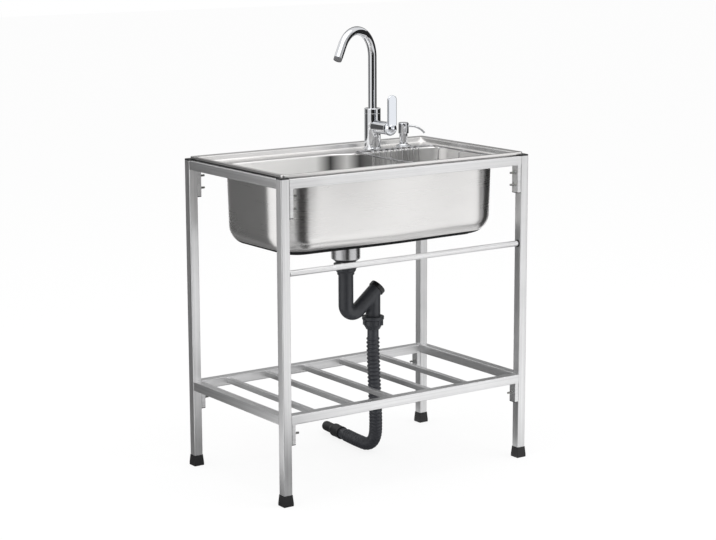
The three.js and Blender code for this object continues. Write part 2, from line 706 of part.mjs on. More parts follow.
{
  const length = hoseCurve.getLength();
  const ribs = Math.floor((length - 2 * hose.radius) / hose.ribPitch);
  const firstRib = (length - ribs * hose.ribPitch) / 2;
  const pointsAt = (distances) => distances.map((distance) => hoseCurve.getPointAt(distance / length));
  const outside = [[0, hose.groove]];
  const inside = [0];
  for (let rib = 0; rib < ribs; rib += 1) {
    const start = firstRib + rib * hose.ribPitch;
    outside.push([start, hose.groove], [start + hose.ribPitch / 2, hose.radius]);
    if (rib % hose.boreEvery === 0) inside.push(start);
  }
  outside.push([firstRib + ribs * hose.ribPitch, hose.groove], [length, hose.groove]);
  inside.push(length);
  const outer = ringsAlong(pointsAt(outside.map(([distance]) => distance)),
    outside.map(([, radius]) => radius), hose.sides);
  const inner = ringsAlong(pointsAt(inside), hose.bore, hose.sides);
  place('drain_hose', loft([...outer, ...inner.reverse()], true), blackPlastic());
}

{
  const c = cuff;
  const sleeveEnd = c.sleeveLength;
  const spigotStart = sleeveEnd + c.taper;
  const end = spigotStart + c.spigotLength;
  const body = turned([
    [c.sleeveRadius, fitGap], [c.sleeveRadius, sleeveEnd], [c.spigotRadius, spigotStart],
    [c.spigotRadius, end], [c.bore, end], [c.bore, fitGap],
  ], 20);
  const mesh = place('hose_cuff', body, blackPlastic(), hoseRoute[hoseRoute.length - 1].toArray());
  mesh.quaternion.setFromUnitVectors(new THREE.Vector3(0, 0, 1), hoseCurve.getTangentAt(1));
}

// ---------------------------------------------------------------- mixer tap

const tapGroup = new THREE.Group();
tapGroup.position.set(tapAt.x, tapAt.y, deckTop);
unit.add(tapGroup);

const spoutTurn = THREE.MathUtils.degToRad(tap.spoutTurn);
const spoutWay = new THREE.Vector3(-Math.cos(spoutTurn), -Math.sin(spoutTurn), 0);
const valveTurn = THREE.MathUtils.degToRad(tap.valveTurn);

// Moves a shape turned about Z so that it lies along the valve's axis.
const alongValve = (geometry) => geometry.rotateY(Math.PI / 2).rotateZ(valveTurn)
  .translate(0, 0, tap.valveHeight);

{
  const t = tap;
  const column = turned([
    [0, -t.shankLength], [t.shankRadius, -t.shankLength], [t.shankRadius, 0],
    [t.baseRadius, 0], [t.baseRadius, t.baseHeight - 2], [t.radius, t.baseHeight],
    [t.radius, t.height - 1.5], [t.radius - 1.5, t.height], [0, t.height],
  ], 28);
  const valve = alongValve(rod(t.valveRadius, 0, t.valveReach));
  const coreBore = alongValve(rod(t.coreRadius + fitGap, t.valveReach - t.coreDepth, t.valveReach + 1));
  const socket = rod(t.spoutRadius + fitGap, t.height - t.spoutInsert, t.height + 1, 16);
  const supply = rod(t.shankRadius - 4, -t.shankLength - 1, -4, 16);
  place('tap_body', cut(join(column, valve), coreBore, socket, supply), chrome(), [0, 0, 0], tapGroup);

  place('tap_nut', nut(6, t.nutRadius, t.shankRadius + fitGap, t.nutHeight), zincSteel(),
    [0, 0, -sink.wall], tapGroup);
}

// The spout rises, bends over and ends in a short straight run.
const spoutRoute = (() => {
  const t = tap;
  const bend = THREE.MathUtils.degToRad(t.spoutBendAngle);
  const at = (out, up) => spoutWay.clone().multiplyScalar(out).setZ(up);
  const line = [at(0, t.height - t.spoutInsert + fitGap)];
  for (let i = 0; i <= t.spoutBendSteps; i += 1) {
    const angle = (i / t.spoutBendSteps) * bend;
    line.push(at(t.spoutBend * (1 - Math.cos(angle)), t.spoutStraight + t.spoutBend * Math.sin(angle)));
  }
  const endWay = at(Math.sin(bend), Math.cos(bend));
  const end = line[line.length - 1].clone().addScaledVector(endWay, t.spoutEnd);
  line.push(end);
  return { line, end, endWay };
})();

place('spout', barAlong(spoutRoute.line, tap.spoutRadius, 16, tap.spoutRadius - tap.spoutWall),
  chrome(), [0, 0, 0], tapGroup);

{
  const t = tap;
  const ring = turned([
    [t.spoutRadius - 0.4, fitGap], [t.spoutRadius - 0.4, t.aeratorLength],
    [t.spoutRadius - 3, t.aeratorLength], [t.spoutRadius - 3, fitGap],
  ], 20);
  const mesh = place('aerator', ring, blackPlastic(), spoutRoute.end.toArray(), tapGroup);
  mesh.quaternion.setFromUnitVectors(new THREE.Vector3(0, 0, 1), spoutRoute.endWay);
}

// Cartridge core: a plug in the valve with a ball on its end, about which the lever tilts.
function ballProfile(radius, centre, from, steps) {
  const start = Math.acos((from - centre) / radius);
  return Array.from({ length: steps + 1 }, (unused, i) => {
    const angle = start * (1 - i / steps);
    return [radius * Math.sin(angle), centre + radius * Math.cos(angle)];
  });
}

{
  const t = tap;
  const coreStart = t.valveReach - t.coreDepth + fitGap;
  const ballStart = t.valveReach + fitGap;
  const ball = ballProfile(t.ballRadius, t.ballCentre, ballStart, 6);
  ball[ball.length - 1][0] = 0;
  const core = turned([[0, coreStart], [t.coreRadius, coreStart], [t.coreRadius, ballStart], ...ball]);
  place('cartridge_core', alongValve(core), chrome(), [0, 0, 0], tapGroup);

  // Hood of the lever: a shell round the ball, with the paddle standing up from it.
  const innerRadius = t.ballRadius + fitGap * 2;
  const outerRadius = innerRadius + t.hoodWall;
  const hoodStart = t.ballCentre + t.hoodStart;
  const hood = [...ballProfile(outerRadius, t.ballCentre, hoodStart, 6)];
  hood[hood.length - 1][0] = 0;
  const hoodSolid = turned([[0, hoodStart], ...hood]);
  const paddleShape = roundedRectangle(t.leverWidth, t.leverTop, t.leverRound);
  const paddle = extruded(paddleShape, t.leverThickness, 5)
    .translate(0, t.leverTop / 2, t.ballCentre + t.leverOffset);
  // In the valve's own frame, -X is up once the shape is laid along the valve.
  const standing = paddle.rotateZ(Math.PI / 2);
  const cavity = turned([
    [0, t.ballCentre - innerRadius],
    ...ballProfile(innerRadius, t.ballCentre, t.ballCentre - innerRadius * 0.98, 10).slice(0, -1),
    [0, t.ballCentre + innerRadius],
  ]);
  const lever = cut(join(hoodSolid, standing), cavity);
  place('lever', alongValve(lever), chrome(), [0, 0, 0], tapGroup);
}

// ---------------------------------------------------------------- soap dispenser

const soapGroup = new THREE.Group();
soapGroup.position.set(soapAt.x, soapAt.y, deckTop);
unit.add(soapGroup);

{
  const s = soap;
  const stemBore = s.stemRadius + fitGap;
  place('dispenser_collar', turned([
    [stemBore, -s.shankLength], [s.shankRadius, -s.shankLength], [s.shankRadius, 0],
    [s.flangeRadius, 0], [s.flangeRadius, s.flangeHeight - 1], [s.flangeRadius - 3, s.flangeHeight],
    [s.collarRadius + 2.5, s.flangeHeight + 3], [s.collarRadius, s.flareHeight],
    [s.collarRadius, s.collarHeight], [stemBore, s.collarHeight],
  ]), chrome(), [0, 0, 0], soapGroup);

  const headCeiling = s.headTop - 3.5;
  place('pump_stem', rod(s.stemRadius, -s.stemBelow, headCeiling - fitGap, 12), whitePlastic(),
    [0, 0, 0], soapGroup);

  const turn = THREE.MathUtils.degToRad(s.nozzleTurn);
  const out = (reach, up) => new THREE.Vector3(reach * Math.cos(turn), reach * Math.sin(turn), up);
  const headBore = s.headRadius - s.headWall;
  const shell = turned([
    [headBore, s.headBottom], [s.headRadius, s.headBottom], [s.headRadius, s.headTop - 1.5],
    [s.headRadius - 1.5, s.headTop], [0, s.headTop], [0, headCeiling], [headBore, headCeiling],
    [headBore, s.headBottom],
  ]);
  const nozzleLine = new THREE.CubicBezierCurve3(
    out(headBore + 0.8, s.nozzleRise), out(s.nozzleReach * 0.55, s.nozzleRise),
    out(s.nozzleReach * 0.8, s.nozzleRise - s.nozzleDrop * 0.25),
    out(s.nozzleReach, s.nozzleRise - s.nozzleDrop)).getPoints(8);
  const nozzle = barAlong(nozzleLine, s.nozzleRadius, 10);
  place('pump_head', join(shell, nozzle), chrome(), [0, 0, 0], soapGroup);

  place('dispenser_nut', nut(8, s.nutRadius, s.shankRadius + fitGap, s.nutHeight), blackPlastic(),
    [0, 0, -sink.wall], soapGroup);

  // The bottle screws on to the collar's shank, below the nut.
  const mouth = -sink.wall - s.nutHeight - 1;
  const neckBottom = mouth - s.bottleNeckLength;
  const base = mouth - s.bottleLength;
  const neckBore = s.shankRadius + fitGap;
  place('soap_bottle', turned([
    [neckBore, mouth], [s.bottleNeck, mouth], [s.bottleNeck, neckBottom],
    [s.bottleRadius, neckBottom - s.bottleShoulder], [s.bottleRadius, base + 4], [s.bottleRadius - 4, base],
    [0, base], [0, base + s.bottleWall], [s.bottleRadius - 5, base + s.bottleWall],
    [s.bottleRadius - s.bottleWall, base + 5], [s.bottleRadius - s.bottleWall, neckBottom - s.bottleShoulder - 1],
    [neckBore, neckBottom - 1], [neckBore, mouth],
  ]), whitePlastic(), [0, 0, 0], soapGroup);
}

// ---------------------------------------------------------------- wire draining basket

{
  const w = wireBasket;
  const left = fromRight(w.leftFromRight);
  const right = fromRight(w.rightFromRight);
  const front = fromFront(w.fromFront);
  const back = fromBack(w.fromBack);
  const rimZ = deckTop + w.wireRadius + fitGap;
  const bottomZ = rimZ - w.depth;
  const at = (x, y, z) => new THREE.Vector3(x, y, z);

  // The rim wire is closed: it runs anticlockwise from the front left corner.
  const corner = w.rimCorner;
  const rimLine = [[left, front, Math.PI], [right, front, -Math.PI / 2], [right, back, 0], [left, back, Math.PI / 2]]
    .flatMap(([x, y, start]) => Array.from({ length: 5 }, (unused, i) => {
      const angle = start + (i / 4) * (Math.PI / 2);
      const centreX = x + (x === left ? corner : -corner);
      const centreY = y + (y === front ? corner : -corner);
      return at(centreX + corner * Math.cos(angle), centreY + corner * Math.sin(angle), rimZ);
    }));
  const pieces = [loft(ringsAlong(rimLine, w.wireRadius, w.rimSides, true), true)];
  const wire = (points) => barAlong(roundedLine(points, w.bendRadius, 1), w.thinRadius, w.sides);
  const slope = 4;
  for (let i = 0; i < w.crossWires; i += 1) {
    const margin = w.ledge + w.bottomCorner;
    const x = left + margin + (i / (w.crossWires - 1)) * (right - left - 2 * margin);
    pieces.push(wire([at(x, front, rimZ), at(x, front + w.ledge, rimZ), at(x, front + w.ledge + slope, bottomZ),
      at(x, back - w.ledge - slope, bottomZ), at(x, back - w.ledge, rimZ), at(x, back, rimZ)]));
  }
  for (let i = 0; i < w.longWires; i += 1) {
    const margin = w.ledge + w.endMargin;
    const y = front + margin + (i / (w.longWires - 1)) * (back - front - 2 * margin);
    pieces.push(wire([at(left, y, rimZ), at(left + w.ledge, y, rimZ), at(left + w.ledge + slope, y, bottomZ),
      at(right - w.ledge - slope, y, bottomZ), at(right - w.ledge, y, rimZ), at(right, y, rimZ)]));
  }
  place('wire_basket', join(...pieces), chrome());
}

export default unit;
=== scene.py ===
"""A free-standing kitchen sink unit: a steel bowl on a square-tube stand, with its mixer tap, soap
dispenser, draining basket, towel rail, trap and ribbed drain hose."""

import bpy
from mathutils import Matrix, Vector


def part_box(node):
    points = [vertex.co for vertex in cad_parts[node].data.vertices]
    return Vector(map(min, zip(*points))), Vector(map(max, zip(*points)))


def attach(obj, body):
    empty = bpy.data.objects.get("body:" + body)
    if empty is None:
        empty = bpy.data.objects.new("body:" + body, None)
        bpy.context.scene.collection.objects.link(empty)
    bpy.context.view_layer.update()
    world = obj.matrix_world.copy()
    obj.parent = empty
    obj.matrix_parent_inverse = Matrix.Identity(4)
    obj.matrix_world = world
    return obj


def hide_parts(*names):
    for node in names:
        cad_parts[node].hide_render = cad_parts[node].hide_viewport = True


bl_info = {
    "name": "Kitchen sink unit",
    "version": (1, 0, 0),
    "blender": (4, 5, 0),
    "location": "3D View > Sidebar > Sink unit",
    "description": "Models a sink on a stand, piece by piece, over its packed frame",
    "category": "Object",
}

import math

import bmesh
import bpy
from mathutils import Matrix, Vector

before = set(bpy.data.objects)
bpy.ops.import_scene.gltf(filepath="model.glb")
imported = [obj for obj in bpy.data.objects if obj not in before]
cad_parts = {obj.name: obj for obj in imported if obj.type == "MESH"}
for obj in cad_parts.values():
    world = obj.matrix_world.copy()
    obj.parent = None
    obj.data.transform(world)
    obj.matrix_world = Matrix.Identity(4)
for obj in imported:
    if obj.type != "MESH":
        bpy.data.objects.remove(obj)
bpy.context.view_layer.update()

CORNERS = ("front_left", "front_right", "back_left", "back_right")
NEAR = 1e-5  # how close two coordinates have to be to count as the same


# ---------------------------------------------------------------- sizes and colours

def length(name, description, default):
    return bpy.props.FloatProperty(
        name=name, description=description, default=default, min=0.0, precision=4,
        subtype="DISTANCE", unit="LENGTH")


def colour(name, description, default):
    return bpy.props.FloatVectorProperty(
        name=name, description=description, default=default, size=3, min=0.0, max=1.0,
        subtype="COLOR")


class StandSizes(bpy.types.PropertyGroup):
    """Sizes of the tube stand"""
    corner: length("Tube corner", "Outer corner radius of the square tube", 0.0022)
    wall: length("Tube wall", "Thickness of the tube's wall", 0.0012)
    bar_corner: length("Bar corner", "Outer corner radius of the shelf bars", 0.0016)
    foot_height: length("Foot height", "Height of a foot below the leg's tube", 0.030)
    cap_height: length("Cap height", "Height of the cap on top of a leg", 0.004)
    bracket_depth: length("Bracket depth", "Width of a bracket along the rail", 0.012)
    plug_height: length("Plug height", "Height of the black plug that closes a bracket", 0.0022)
    rail_radius: length("Towel rail radius", "Outer radius of the towel rail", 0.0078)


class SinkSizes(bpy.types.PropertyGroup):
    """Sizes of the pressed sink"""
    wall: length("Sheet", "Thickness of the pressed steel", 0.0012)
    bowl_depth: length("Bowl depth", "From the deck down to the bowl's floor", 0.209)
    front_corner: length("Front corners", "Plan radius of the bowl's front corners", 0.100)
    back_corner: length("Back corners", "Plan radius of the bowl's back corners", 0.060)
    fillet: length("Floor fillet", "Radius between the bowl's wall and its floor", 0.050)
    draw_in: length("Draw-in", "How far the wall stands in from the rim before its fillet", 0.004)
    roll: length("Edge roll", "Radius where the deck turns down into the bowl", 0.005)


class TapSizes(bpy.types.PropertyGroup):
    """Sizes of the mixer tap"""
    base_radius: length("Base radius", "Radius of the flange on the deck", 0.0255)
    radius: length("Column radius", "Radius of the column", 0.023)
    height: length("Column height", "From the deck to the top of the column", 0.116)
    spout_radius: length("Spout radius", "Outer radius of the spout's tube", 0.012)
    lever_width: length("Lever width", "Width of the lever's paddle", 0.030)


class Colours(bpy.types.PropertyGroup):
    """Colours of the finishes"""
    stand_steel: colour("Stand steel", "Satin steel of the tubes", (0.90, 0.90, 0.905))
    sink_steel: colour("Sink steel", "Brushed steel of the pressing", (0.87, 0.86, 0.85))
    strainer: colour("Strainer", "Duller steel of the strainer", (0.60, 0.60, 0.61))
    chrome: colour("Chrome", "Polished chrome of the tap and dispenser", (0.66, 0.67, 0.69))
    lever: colour("Lever", "Paler chrome of the lever", (0.80, 0.83, 0.88))
    # The core's dark colour is painted reflection: it darkens what shows under the lever's hood.
    core: colour("Core", "Dark metal of the valve's core", (0.09, 0.09, 0.10))
    wire: colour("Wire", "Bright wire of the draining basket", (0.48, 0.48, 0.49))
    pipe: colour("Pipe", "Charcoal plastic of the trap", (0.030, 0.032, 0.038))
    hose: colour("Hose", "Charcoal plastic of the ribbed hose", (0.034, 0.036, 0.043))
    black: colour("Black", "Black plastic of feet, caps and plugs", (0.012, 0.012, 0.013))
    aerator: colour("Aerator", "Dark plastic in the spout's mouth", (0.10, 0.10, 0.105))
    pad: colour("Pad", "Damping sheet under the bowl", (0.010, 0.010, 0.011))
    zinc: colour("Zinc", "Plated bolts and nuts", (0.55, 0.55, 0.54))
    plastic: colour("White plastic", "Soap bottle and pump stem", (0.80, 0.80, 0.78))
    background: colour("Background", "Floor and backdrop", (1.0, 1.0, 1.0))


class SinkUnit(bpy.types.PropertyGroup):
    """Everything that a user would change on the sink unit"""
    stand: bpy.props.PointerProperty(type=StandSizes, name="Stand", description="Tube stand")
    sink: bpy.props.PointerProperty(type=SinkSizes, name="Sink", description="Pressed sink")
    tap: bpy.props.PointerProperty(type=TapSizes, name="Tap", description="Mixer tap")
    colours: bpy.props.PointerProperty(type=Colours, name="Colours", description="Finishes")


def unit():
    return bpy.context.scene.sink_unit


# ---------------------------------------------------------------- modelling by hand, in code

def deselect():
    if bpy.context.mode != "OBJECT":
        bpy.ops.object.mode_set(mode="OBJECT")
    bpy.ops.object.select_all(action="DESELECT")


def choose(piece):
    deselect()
    piece.select_set(True)
    bpy.context.view_layer.objects.active = piece


def edit(piece):
    choose(piece)
    bpy.ops.object.mode_set(mode="EDIT")


def leave():
    bpy.ops.object.mode_set(mode="OBJECT")


def drop(piece):
    bpy.data.objects.remove(piece)


def named(name):
    """The new active object, given its name."""
    piece = bpy.context.object
    piece.name = piece.data.name = name
    return piece


def pick(kind, test):
    """In edit mode, selects just the faces, edges or vertices that pass the test."""
    bpy.ops.mesh.select_mode(type=kind)
    bpy.ops.mesh.select_all(action="DESELECT")
    mesh = bmesh.from_edit_mesh(bpy.context.object.data)
    mesh.normal_update()
    items = {"FACE": mesh.faces, "EDGE": mesh.edges, "VERT": mesh.verts}[kind]
    found = [item for item in items if test(item)]
    for item in found:
        item.select_set(True)
    mesh.select_flush_mode()
    bmesh.update_edit_mesh(bpy.context.object.data)
    if not found:
        raise RuntimeError(f"nothing to select on {bpy.context.object.name}")


def facing(sign):
    """A test for faces that look up, or down with a negative sign."""
    return lambda face: face.normal.z * sign > 0.9


def along(axis):
    """A test for edges that run along an axis."""
    return lambda edge: abs((edge.verts[1].co - edge.verts[0].co).normalized()[axis]) > 0.99


def bevel(test, offset, segments, kind="EDGE"):
    """In edit mode, rounds the edges or the corners that pass the test."""
    pick(kind, test)
    bpy.ops.mesh.bevel(offset=offset, offset_type="OFFSET", segments=segments, profile=0.5,
                       affect="EDGES" if kind == "EDGE" else "VERTICES")


def extrude(rise):
    bpy.ops.mesh.extrude_region_move(TRANSFORM_OT_translate={"value": (0, 0, rise)})


def draw_plug(margin, rise):
    """In edit mode, draws a narrower plug out of the faces that look up, or down."""
    pick("FACE", facing(math.copysign(1, rise)))
    bpy.ops.mesh.inset(thickness=margin)
    extrude(rise)


def face_outward():
    bpy.ops.mesh.select_all(action="SELECT")
    bpy.ops.mesh.normals_make_consistent(inside=False)


def apply(piece, kind, **settings):
    """Adds a modifier, and applies it."""
    choose(piece)
    modifier = piece.modifiers.new(kind.title(), kind)
    for name, value in settings.items():
        setattr(modifier, name, value)
    bpy.ops.object.modifier_apply(modifier=modifier.name)
    return piece


def combine(piece, tool, operation="DIFFERENCE"):
    """Takes the tool's shape out of the piece, or adds it. The tool is used up."""
    apply(piece, "BOOLEAN", operation=operation, solver="EXACT", object=tool)
    drop(tool)
    return piece


def block(name, low, high):
    """A cube between two corners, its place and size in its mesh."""
    deselect()
    low, high = Vector(low), Vector(high)
    bpy.ops.mesh.primitive_cube_add(size=1.0, location=(low + high) / 2, scale=high - low)
    piece = named(name)
    bpy.ops.object.transform_apply(location=True, rotation=True, scale=True)
    return piece


def square_tube(name, low, high, axis, corner, wall):
    """An open tube along one axis: the ends come off, its long edges are rounded, and the skin gets
    its thickness."""
    piece = block(name, low, high)
    edit(piece)
    pick("FACE", lambda face: abs(face.normal[axis]) > 0.9)
    bpy.ops.mesh.delete(type="ONLY_FACE")
    bevel(along(axis), corner, 5)
    face_outward()
    leave()
    return apply(piece, "SOLIDIFY", thickness=wall, offset=-1.0, use_even_offset=True)


def skin(name, rings, closed=False):
    """One surface through rings of equal count: a circle is laid on the first ring, and extruded
    to each of the next. A ring of radius nothing closes to a pole."""
    if closed:
        rings = [*rings, rings[0]]
    count = len(rings[0])
    deselect()
    bpy.ops.mesh.primitive_circle_add(vertices=count, radius=1.0, fill_type="NOTHING")
    piece = named(name)
    bpy.ops.object.mode_set(mode="EDIT")
    bpy.ops.mesh.select_mode(type="VERT")
    bpy.ops.mesh.select_all(action="SELECT")
    mesh = bmesh.from_edit_mesh(piece.data)
    order = mesh.verts.layers.int.new("order")
    for index, vertex in enumerate(mesh.verts):
        vertex[order] = index
        vertex.co = rings[0][index]
    bmesh.update_edit_mesh(piece.data)
    for ring in rings[1:]:
        bpy.ops.mesh.extrude_region()
        mesh = bmesh.from_edit_mesh(piece.data)
        order = mesh.verts.layers.int["order"]
        mesh.verts.ensure_lookup_table()
        for vertex in mesh.verts[-count:]:
            vertex.co = ring[vertex[order]]
    bmesh.update_edit_mesh(piece.data)
    bpy.ops.mesh.select_all(action="SELECT")
    bpy.ops.mesh.remove_doubles(threshold=1e-6)
    bpy.ops.mesh.normals_make_consistent(inside=False)
    leave()
    piece.data.attributes.remove(piece.data.attributes["order"])
    return piece


def soften(line, radius, steps=3, closed=False):
    """The same profile with each corner rounded, or rounded as far as its shorter side allows."""
    points = [Vector(point) for point in line]
    softer = []
    for i, point in enumerate(points):
        before, after = points[i - 1], points[(i + 1) % len(points)]
        back, on = before - point, after - point
        if (not closed and i in (0, len(points) - 1) or back.length < 1e-9 or on.length < 1e-9
                or back.angle(-on) < 0.12):
            softer.append(point)
            continue
        reach = min(radius, 0.42 * back.length, 0.42 * on.length)
        start, end = point + back.normalized() * reach, point + on.normalized() * reach
        for step in range(steps + 1):
            t = step / steps
            softer.append(start * (1 - t) ** 2 + point * 2 * t * (1 - t) + end * t ** 2)
    return softer


def turned(name, profile, at=(0.0, 0.0, 0.0), place=None, segments=64, soft=0.0006, grip=None):
    """A profile of (radius, height) turned about its axis. It runs from pole to pole, or is a loop.
    grip(angle, radius, height) gives a factor for the radius, for ribs and flats."""
    loop = all(radius > 1e-9 for radius, height in profile)
    line = soften(profile, soft, closed=loop) if soft else [Vector(point) for point in profile]
    place = place or Matrix.Translation(at)
    rings = []
    for radius, height in line:
        ring = []
        for i in range(segments):
            angle = 2 * math.pi * i / segments
            size = radius * (grip(angle, radius, height) if grip else 1.0)
            ring.append(place @ Vector((size * math.cos(angle), size * math.sin(angle), height)))
        rings.append(ring)
    return skin(name, rings, closed=loop)


def flats(count, ease=0.0, beyond=0.0):
    """A grip of that many flats, their corners eased, on radii beyond a limit."""
    half = math.pi / count

    def factor(angle, radius, height):
        step = (angle + half) % (2 * half) - half
        return min(1.0, math.cos(half) / math.cos(step) + ease) if radius > beyond else 1.0
    return factor


def ribs(count, deep, start, end):
    """A grip of that many ribs between two heights."""
    def factor(angle, radius, height):
        wave = min(1.0, 1.8 * (0.5 + 0.5 * math.cos(angle * count)))
        return 1.0 - deep * (1.0 - wave) if start < height < end else 1.0
    return factor


def rings_along(line, radius, sides):
    """Rings square to a line, without twist. The radius is one number, or one for each point."""
    across, rings = None, []
    for i, centre in enumerate(line):
        way = (line[min(i + 1, len(line) - 1)] - line[max(i - 1, 0)]).normalized()
        if across is None:
            across = Vector((0, 0, 1)) if abs(way.y) > 0.9 else Vector((0, 1, 0))
        across = (across - way * across.dot(way)).normalized()
        other = way.cross(across)
        size = radius[i] if isinstance(radius, list) else radius
        rings.append([centre + (across * math.cos(a) + other * math.sin(a)) * size
                      for a in (2 * math.pi * k / sides for k in range(sides))])
    return rings


def tube_along(name, line, outer, inner, sides):
    """A tube with open, rounded ends along a line."""
    lip = 0.0004
    path = [line[0], line[0] + (line[1] - line[0]).normalized() * lip, *line[1:-1],
            line[-1] - (line[-1] - line[-2]).normalized() * lip, line[-1]]
    outside = rings_along(path, [outer - lip, *[outer] * (len(path) - 2), outer - lip], sides)
    return skin(name, [*outside, *rings_along(path, inner, sides)[::-1]], closed=True)


def bar_along(name, line, radius, sides):
    """A solid bar along a line, its ends rounded over."""
    first, last = line[0], line[-1]
    out, on = (first - line[1]).normalized(), (last - line[-2]).normalized()
    path = [first, first - out * radius * 0.15, *line[1:-1], last - on * radius * 0.15, last]
    rings = rings_along(path, [radius * 0.8, *[radius] * (len(path) - 2), radius * 0.8], sides)
    return skin(name, [[first] * sides, *rings, [last] * sides])


def rounded_line(points, radius, steps):
    """A line through the points with each corner turned in an arc of the given radius."""
    points = [Vector(point) for point in points]
    line = [points[0]]
    for before, point, after in zip(points, points[1:], points[2:]):
        arriving, leaving = (point - before).normalized(), (after - point).normalized()
        turn = arriving.angle(leaving)
        start = point - arriving * radius * math.tan(turn / 2)
        inward = (leaving - arriving * leaving.dot(arriving)).normalized()
        for step in range(steps + 1):
            a = turn * step / steps
            line.append(start + arriving * radius * math.sin(a)
                        + inward * radius * (1 - math.cos(a)))
    return [*line, points[-1]]


def spaced(line, step):
    """The same line with points no further apart than the step."""
    points = [line[0]]
    for start, end in zip(line, line[1:]):
        parts = max(1, math.ceil((end - start).length / step))
        points += [start.lerp(end, k / parts) for k in range(1, parts + 1)]
    return points


def lined_up(point, way):
    """The placing that lays a turned shape at a point, its axis along a direction."""
    return Matrix.Translation(point) @ way.to_track_quat("Z", "Y").to_matrix().to_4x4()


def joined(name, pieces):
    """Several meshes as one object."""
    deselect()
    for piece in pieces:
        piece.select_set(True)
    bpy.context.view_layer.objects.active = pieces[0]
    bpy.ops.object.join()
    return named(name)


def settle(piece, body, look, nodes=(), smooth=35.0, weighted=True):
    """Shades a finished piece, gives it its finish, and says what carries it."""
    choose(piece)
    bpy.ops.object.transform_apply(location=True, rotation=True, scale=True)
    bpy.ops.object.shade_smooth_by_angle(angle=math.radians(smooth))
    if weighted:
        apply(piece, "WEIGHTED_NORMAL", keep_sharp=True, weight=60)
    piece.data.materials.clear()
    piece.data.materials.append(finish(look))
    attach(piece, body)
    if nodes:
        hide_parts(*nodes)


# ---------------------------------------------------------------- finishes

class Value:
    """A node's output that can stand in a sum."""

    def __init__(self, finish, socket):
        self.finish, self.socket = finish, socket

    def __add__(self, other):
        return self.finish.maths("ADD", self, other)

    def __sub__(self, other):
        return self.finish.maths("SUBTRACT", self, other)

    def __rsub__(self, other):
        return self.finish.maths("SUBTRACT", other, self)

    def __mul__(self, other):
        return self.finish.maths("MULTIPLY", self, other)

    __radd__, __rmul__ = __add__, __mul__


class Finish:
    """A material, or a world, that is written as sums of its nodes."""

    def __init__(self, name, owner=None):
        self.material = owner or bpy.data.materials.new(name)
        self.material.use_nodes = True
        self.tree = self.material.node_tree
        self.tree.nodes.clear()

    def node(self, kind, settings=None, sockets=None, output=0):
        """A node of that type: its settings first, then the values or links of its sockets."""
        made = self.tree.nodes.new(kind)
        for name, value in (settings or {}).items():
            if name == "stops":
                ramp = made.color_ramp
                for _ in range(len(value) - 2):
                    ramp.elements.new(0.5)
                for element, (position, tone) in zip(ramp.elements, value):
                    element.position, element.color = position, (*tone, 1.0)
            else:
                setattr(made, name, value)
        for key, value in (sockets or {}).items():
            if isinstance(value, Value):
                self.tree.links.new(value.socket, made.inputs[key])
            elif isinstance(made.inputs[key].default_value, (int, float)):
                made.inputs[key].default_value = value
            else:
                wanted = len(made.inputs[key].default_value)
                made.inputs[key].default_value = (*value, 1.0)[:wanted]
        return Value(self, made.outputs[output]) if len(made.outputs) else None

    def maths(self, operation, *terms):
        return self.node("ShaderNodeMath", {"operation": operation}, dict(enumerate(terms)))

    def axis(self, vector, index):
        return self.node("ShaderNodeSeparateXYZ", None, {0: vector}, output=index)

    def normal(self):
        return self.node("ShaderNodeNewGeometry", output=1)

    def place(self, scale=(1.0, 1.0, 1.0)):
        """The object's own coordinates, stretched."""
        here = self.node("ShaderNodeTexCoord", output=3)
        return self.node("ShaderNodeMapping", None, {0: here, 3: scale})

    def noise(self, where, scale, detail, roughness):
        return self.node("ShaderNodeTexNoise", {"noise_dimensions": "3D"},
                         {"Vector": where, "Scale": scale, "Detail": detail,
                          "Roughness": roughness})

    def cells(self, scale, output=0):
        return self.node("ShaderNodeTexVoronoi", {"feature": "F1"},
                         {"Vector": self.place(), "Scale": scale, "Randomness": 1.0}, output)

    def ramp(self, factor, low, high):
        """Nothing below low and one above high."""
        return self.node("ShaderNodeMapRange", {"clamp": True},
                         {0: factor, 1: low, 2: high, 3: 0.0, 4: 1.0})

    def mix(self, factor, first, second):
        return self.node("ShaderNodeMix", {"data_type": "RGBA"}, {0: factor, 6: first, 7: second},
                         output=2)

    def bump(self, height, strength, distance):
        return self.node("ShaderNodeBump", None,
                         {"Strength": strength, "Distance": distance, "Height": height})

    def rays(self, *kinds):
        """Whether a ray is of each of those kinds."""
        path = self.node("ShaderNodeLightPath").socket.node
        return [Value(self, path.outputs[f"Is {kind} Ray"]) for kind in kinds]

    def done(self, **sockets):
        shader = self.node("ShaderNodeBsdfPrincipled", None, {
            name.replace("_", " "): value for name, value in sockets.items()})
        self.node("ShaderNodeOutputMaterial", None, {0: shader})
        return self.material


def tone(base, factor):
    return tuple(min(1.0, channel * factor) for channel in base)


# Painted reflection: light and dark tones along the inside of the bowl's back wall, from its left
# end to its right end.
PAINTED_REFLECTION_SWEEP = tuple((place, (grey, grey, grey * 0.99)) for place, grey in (
    (0.00, 0.97), (0.44, 0.86), (0.50, 0.05), (0.555, 0.70), (0.60, 0.06), (0.72, 0.46),
    (0.80, 0.26), (1.00, 0.80)))


def satin_tube(name, base, axis):
    """Steel tube, ground along its length."""
    f = Finish(name)

    def grain(fine):
        return f.place(tuple(2.5 if i == axis else fine for i in range(3)))

    streak = f.noise(grain(900.0), 1.0, 4.0, 0.6)
    band = f.noise(grain(170.0), 1.0, 2.0, 0.5)
    cloud = f.noise(f.place(), 9.0, 2.0, 0.5)
    light = f.mix(f.ramp(band, 0.3, 0.7), tone(base, 0.90), tone(base, 1.05))
    worn = f.mix(f.ramp(cloud, 0.52, 0.75) * 0.35, light, tone(base, 0.84))
    return f.done(Base_Color=worn, Metallic=1.0, Roughness=0.28 + 0.14 * streak + 0.08 * band,
                  Normal=f.bump(streak, 0.10, 0.0004))


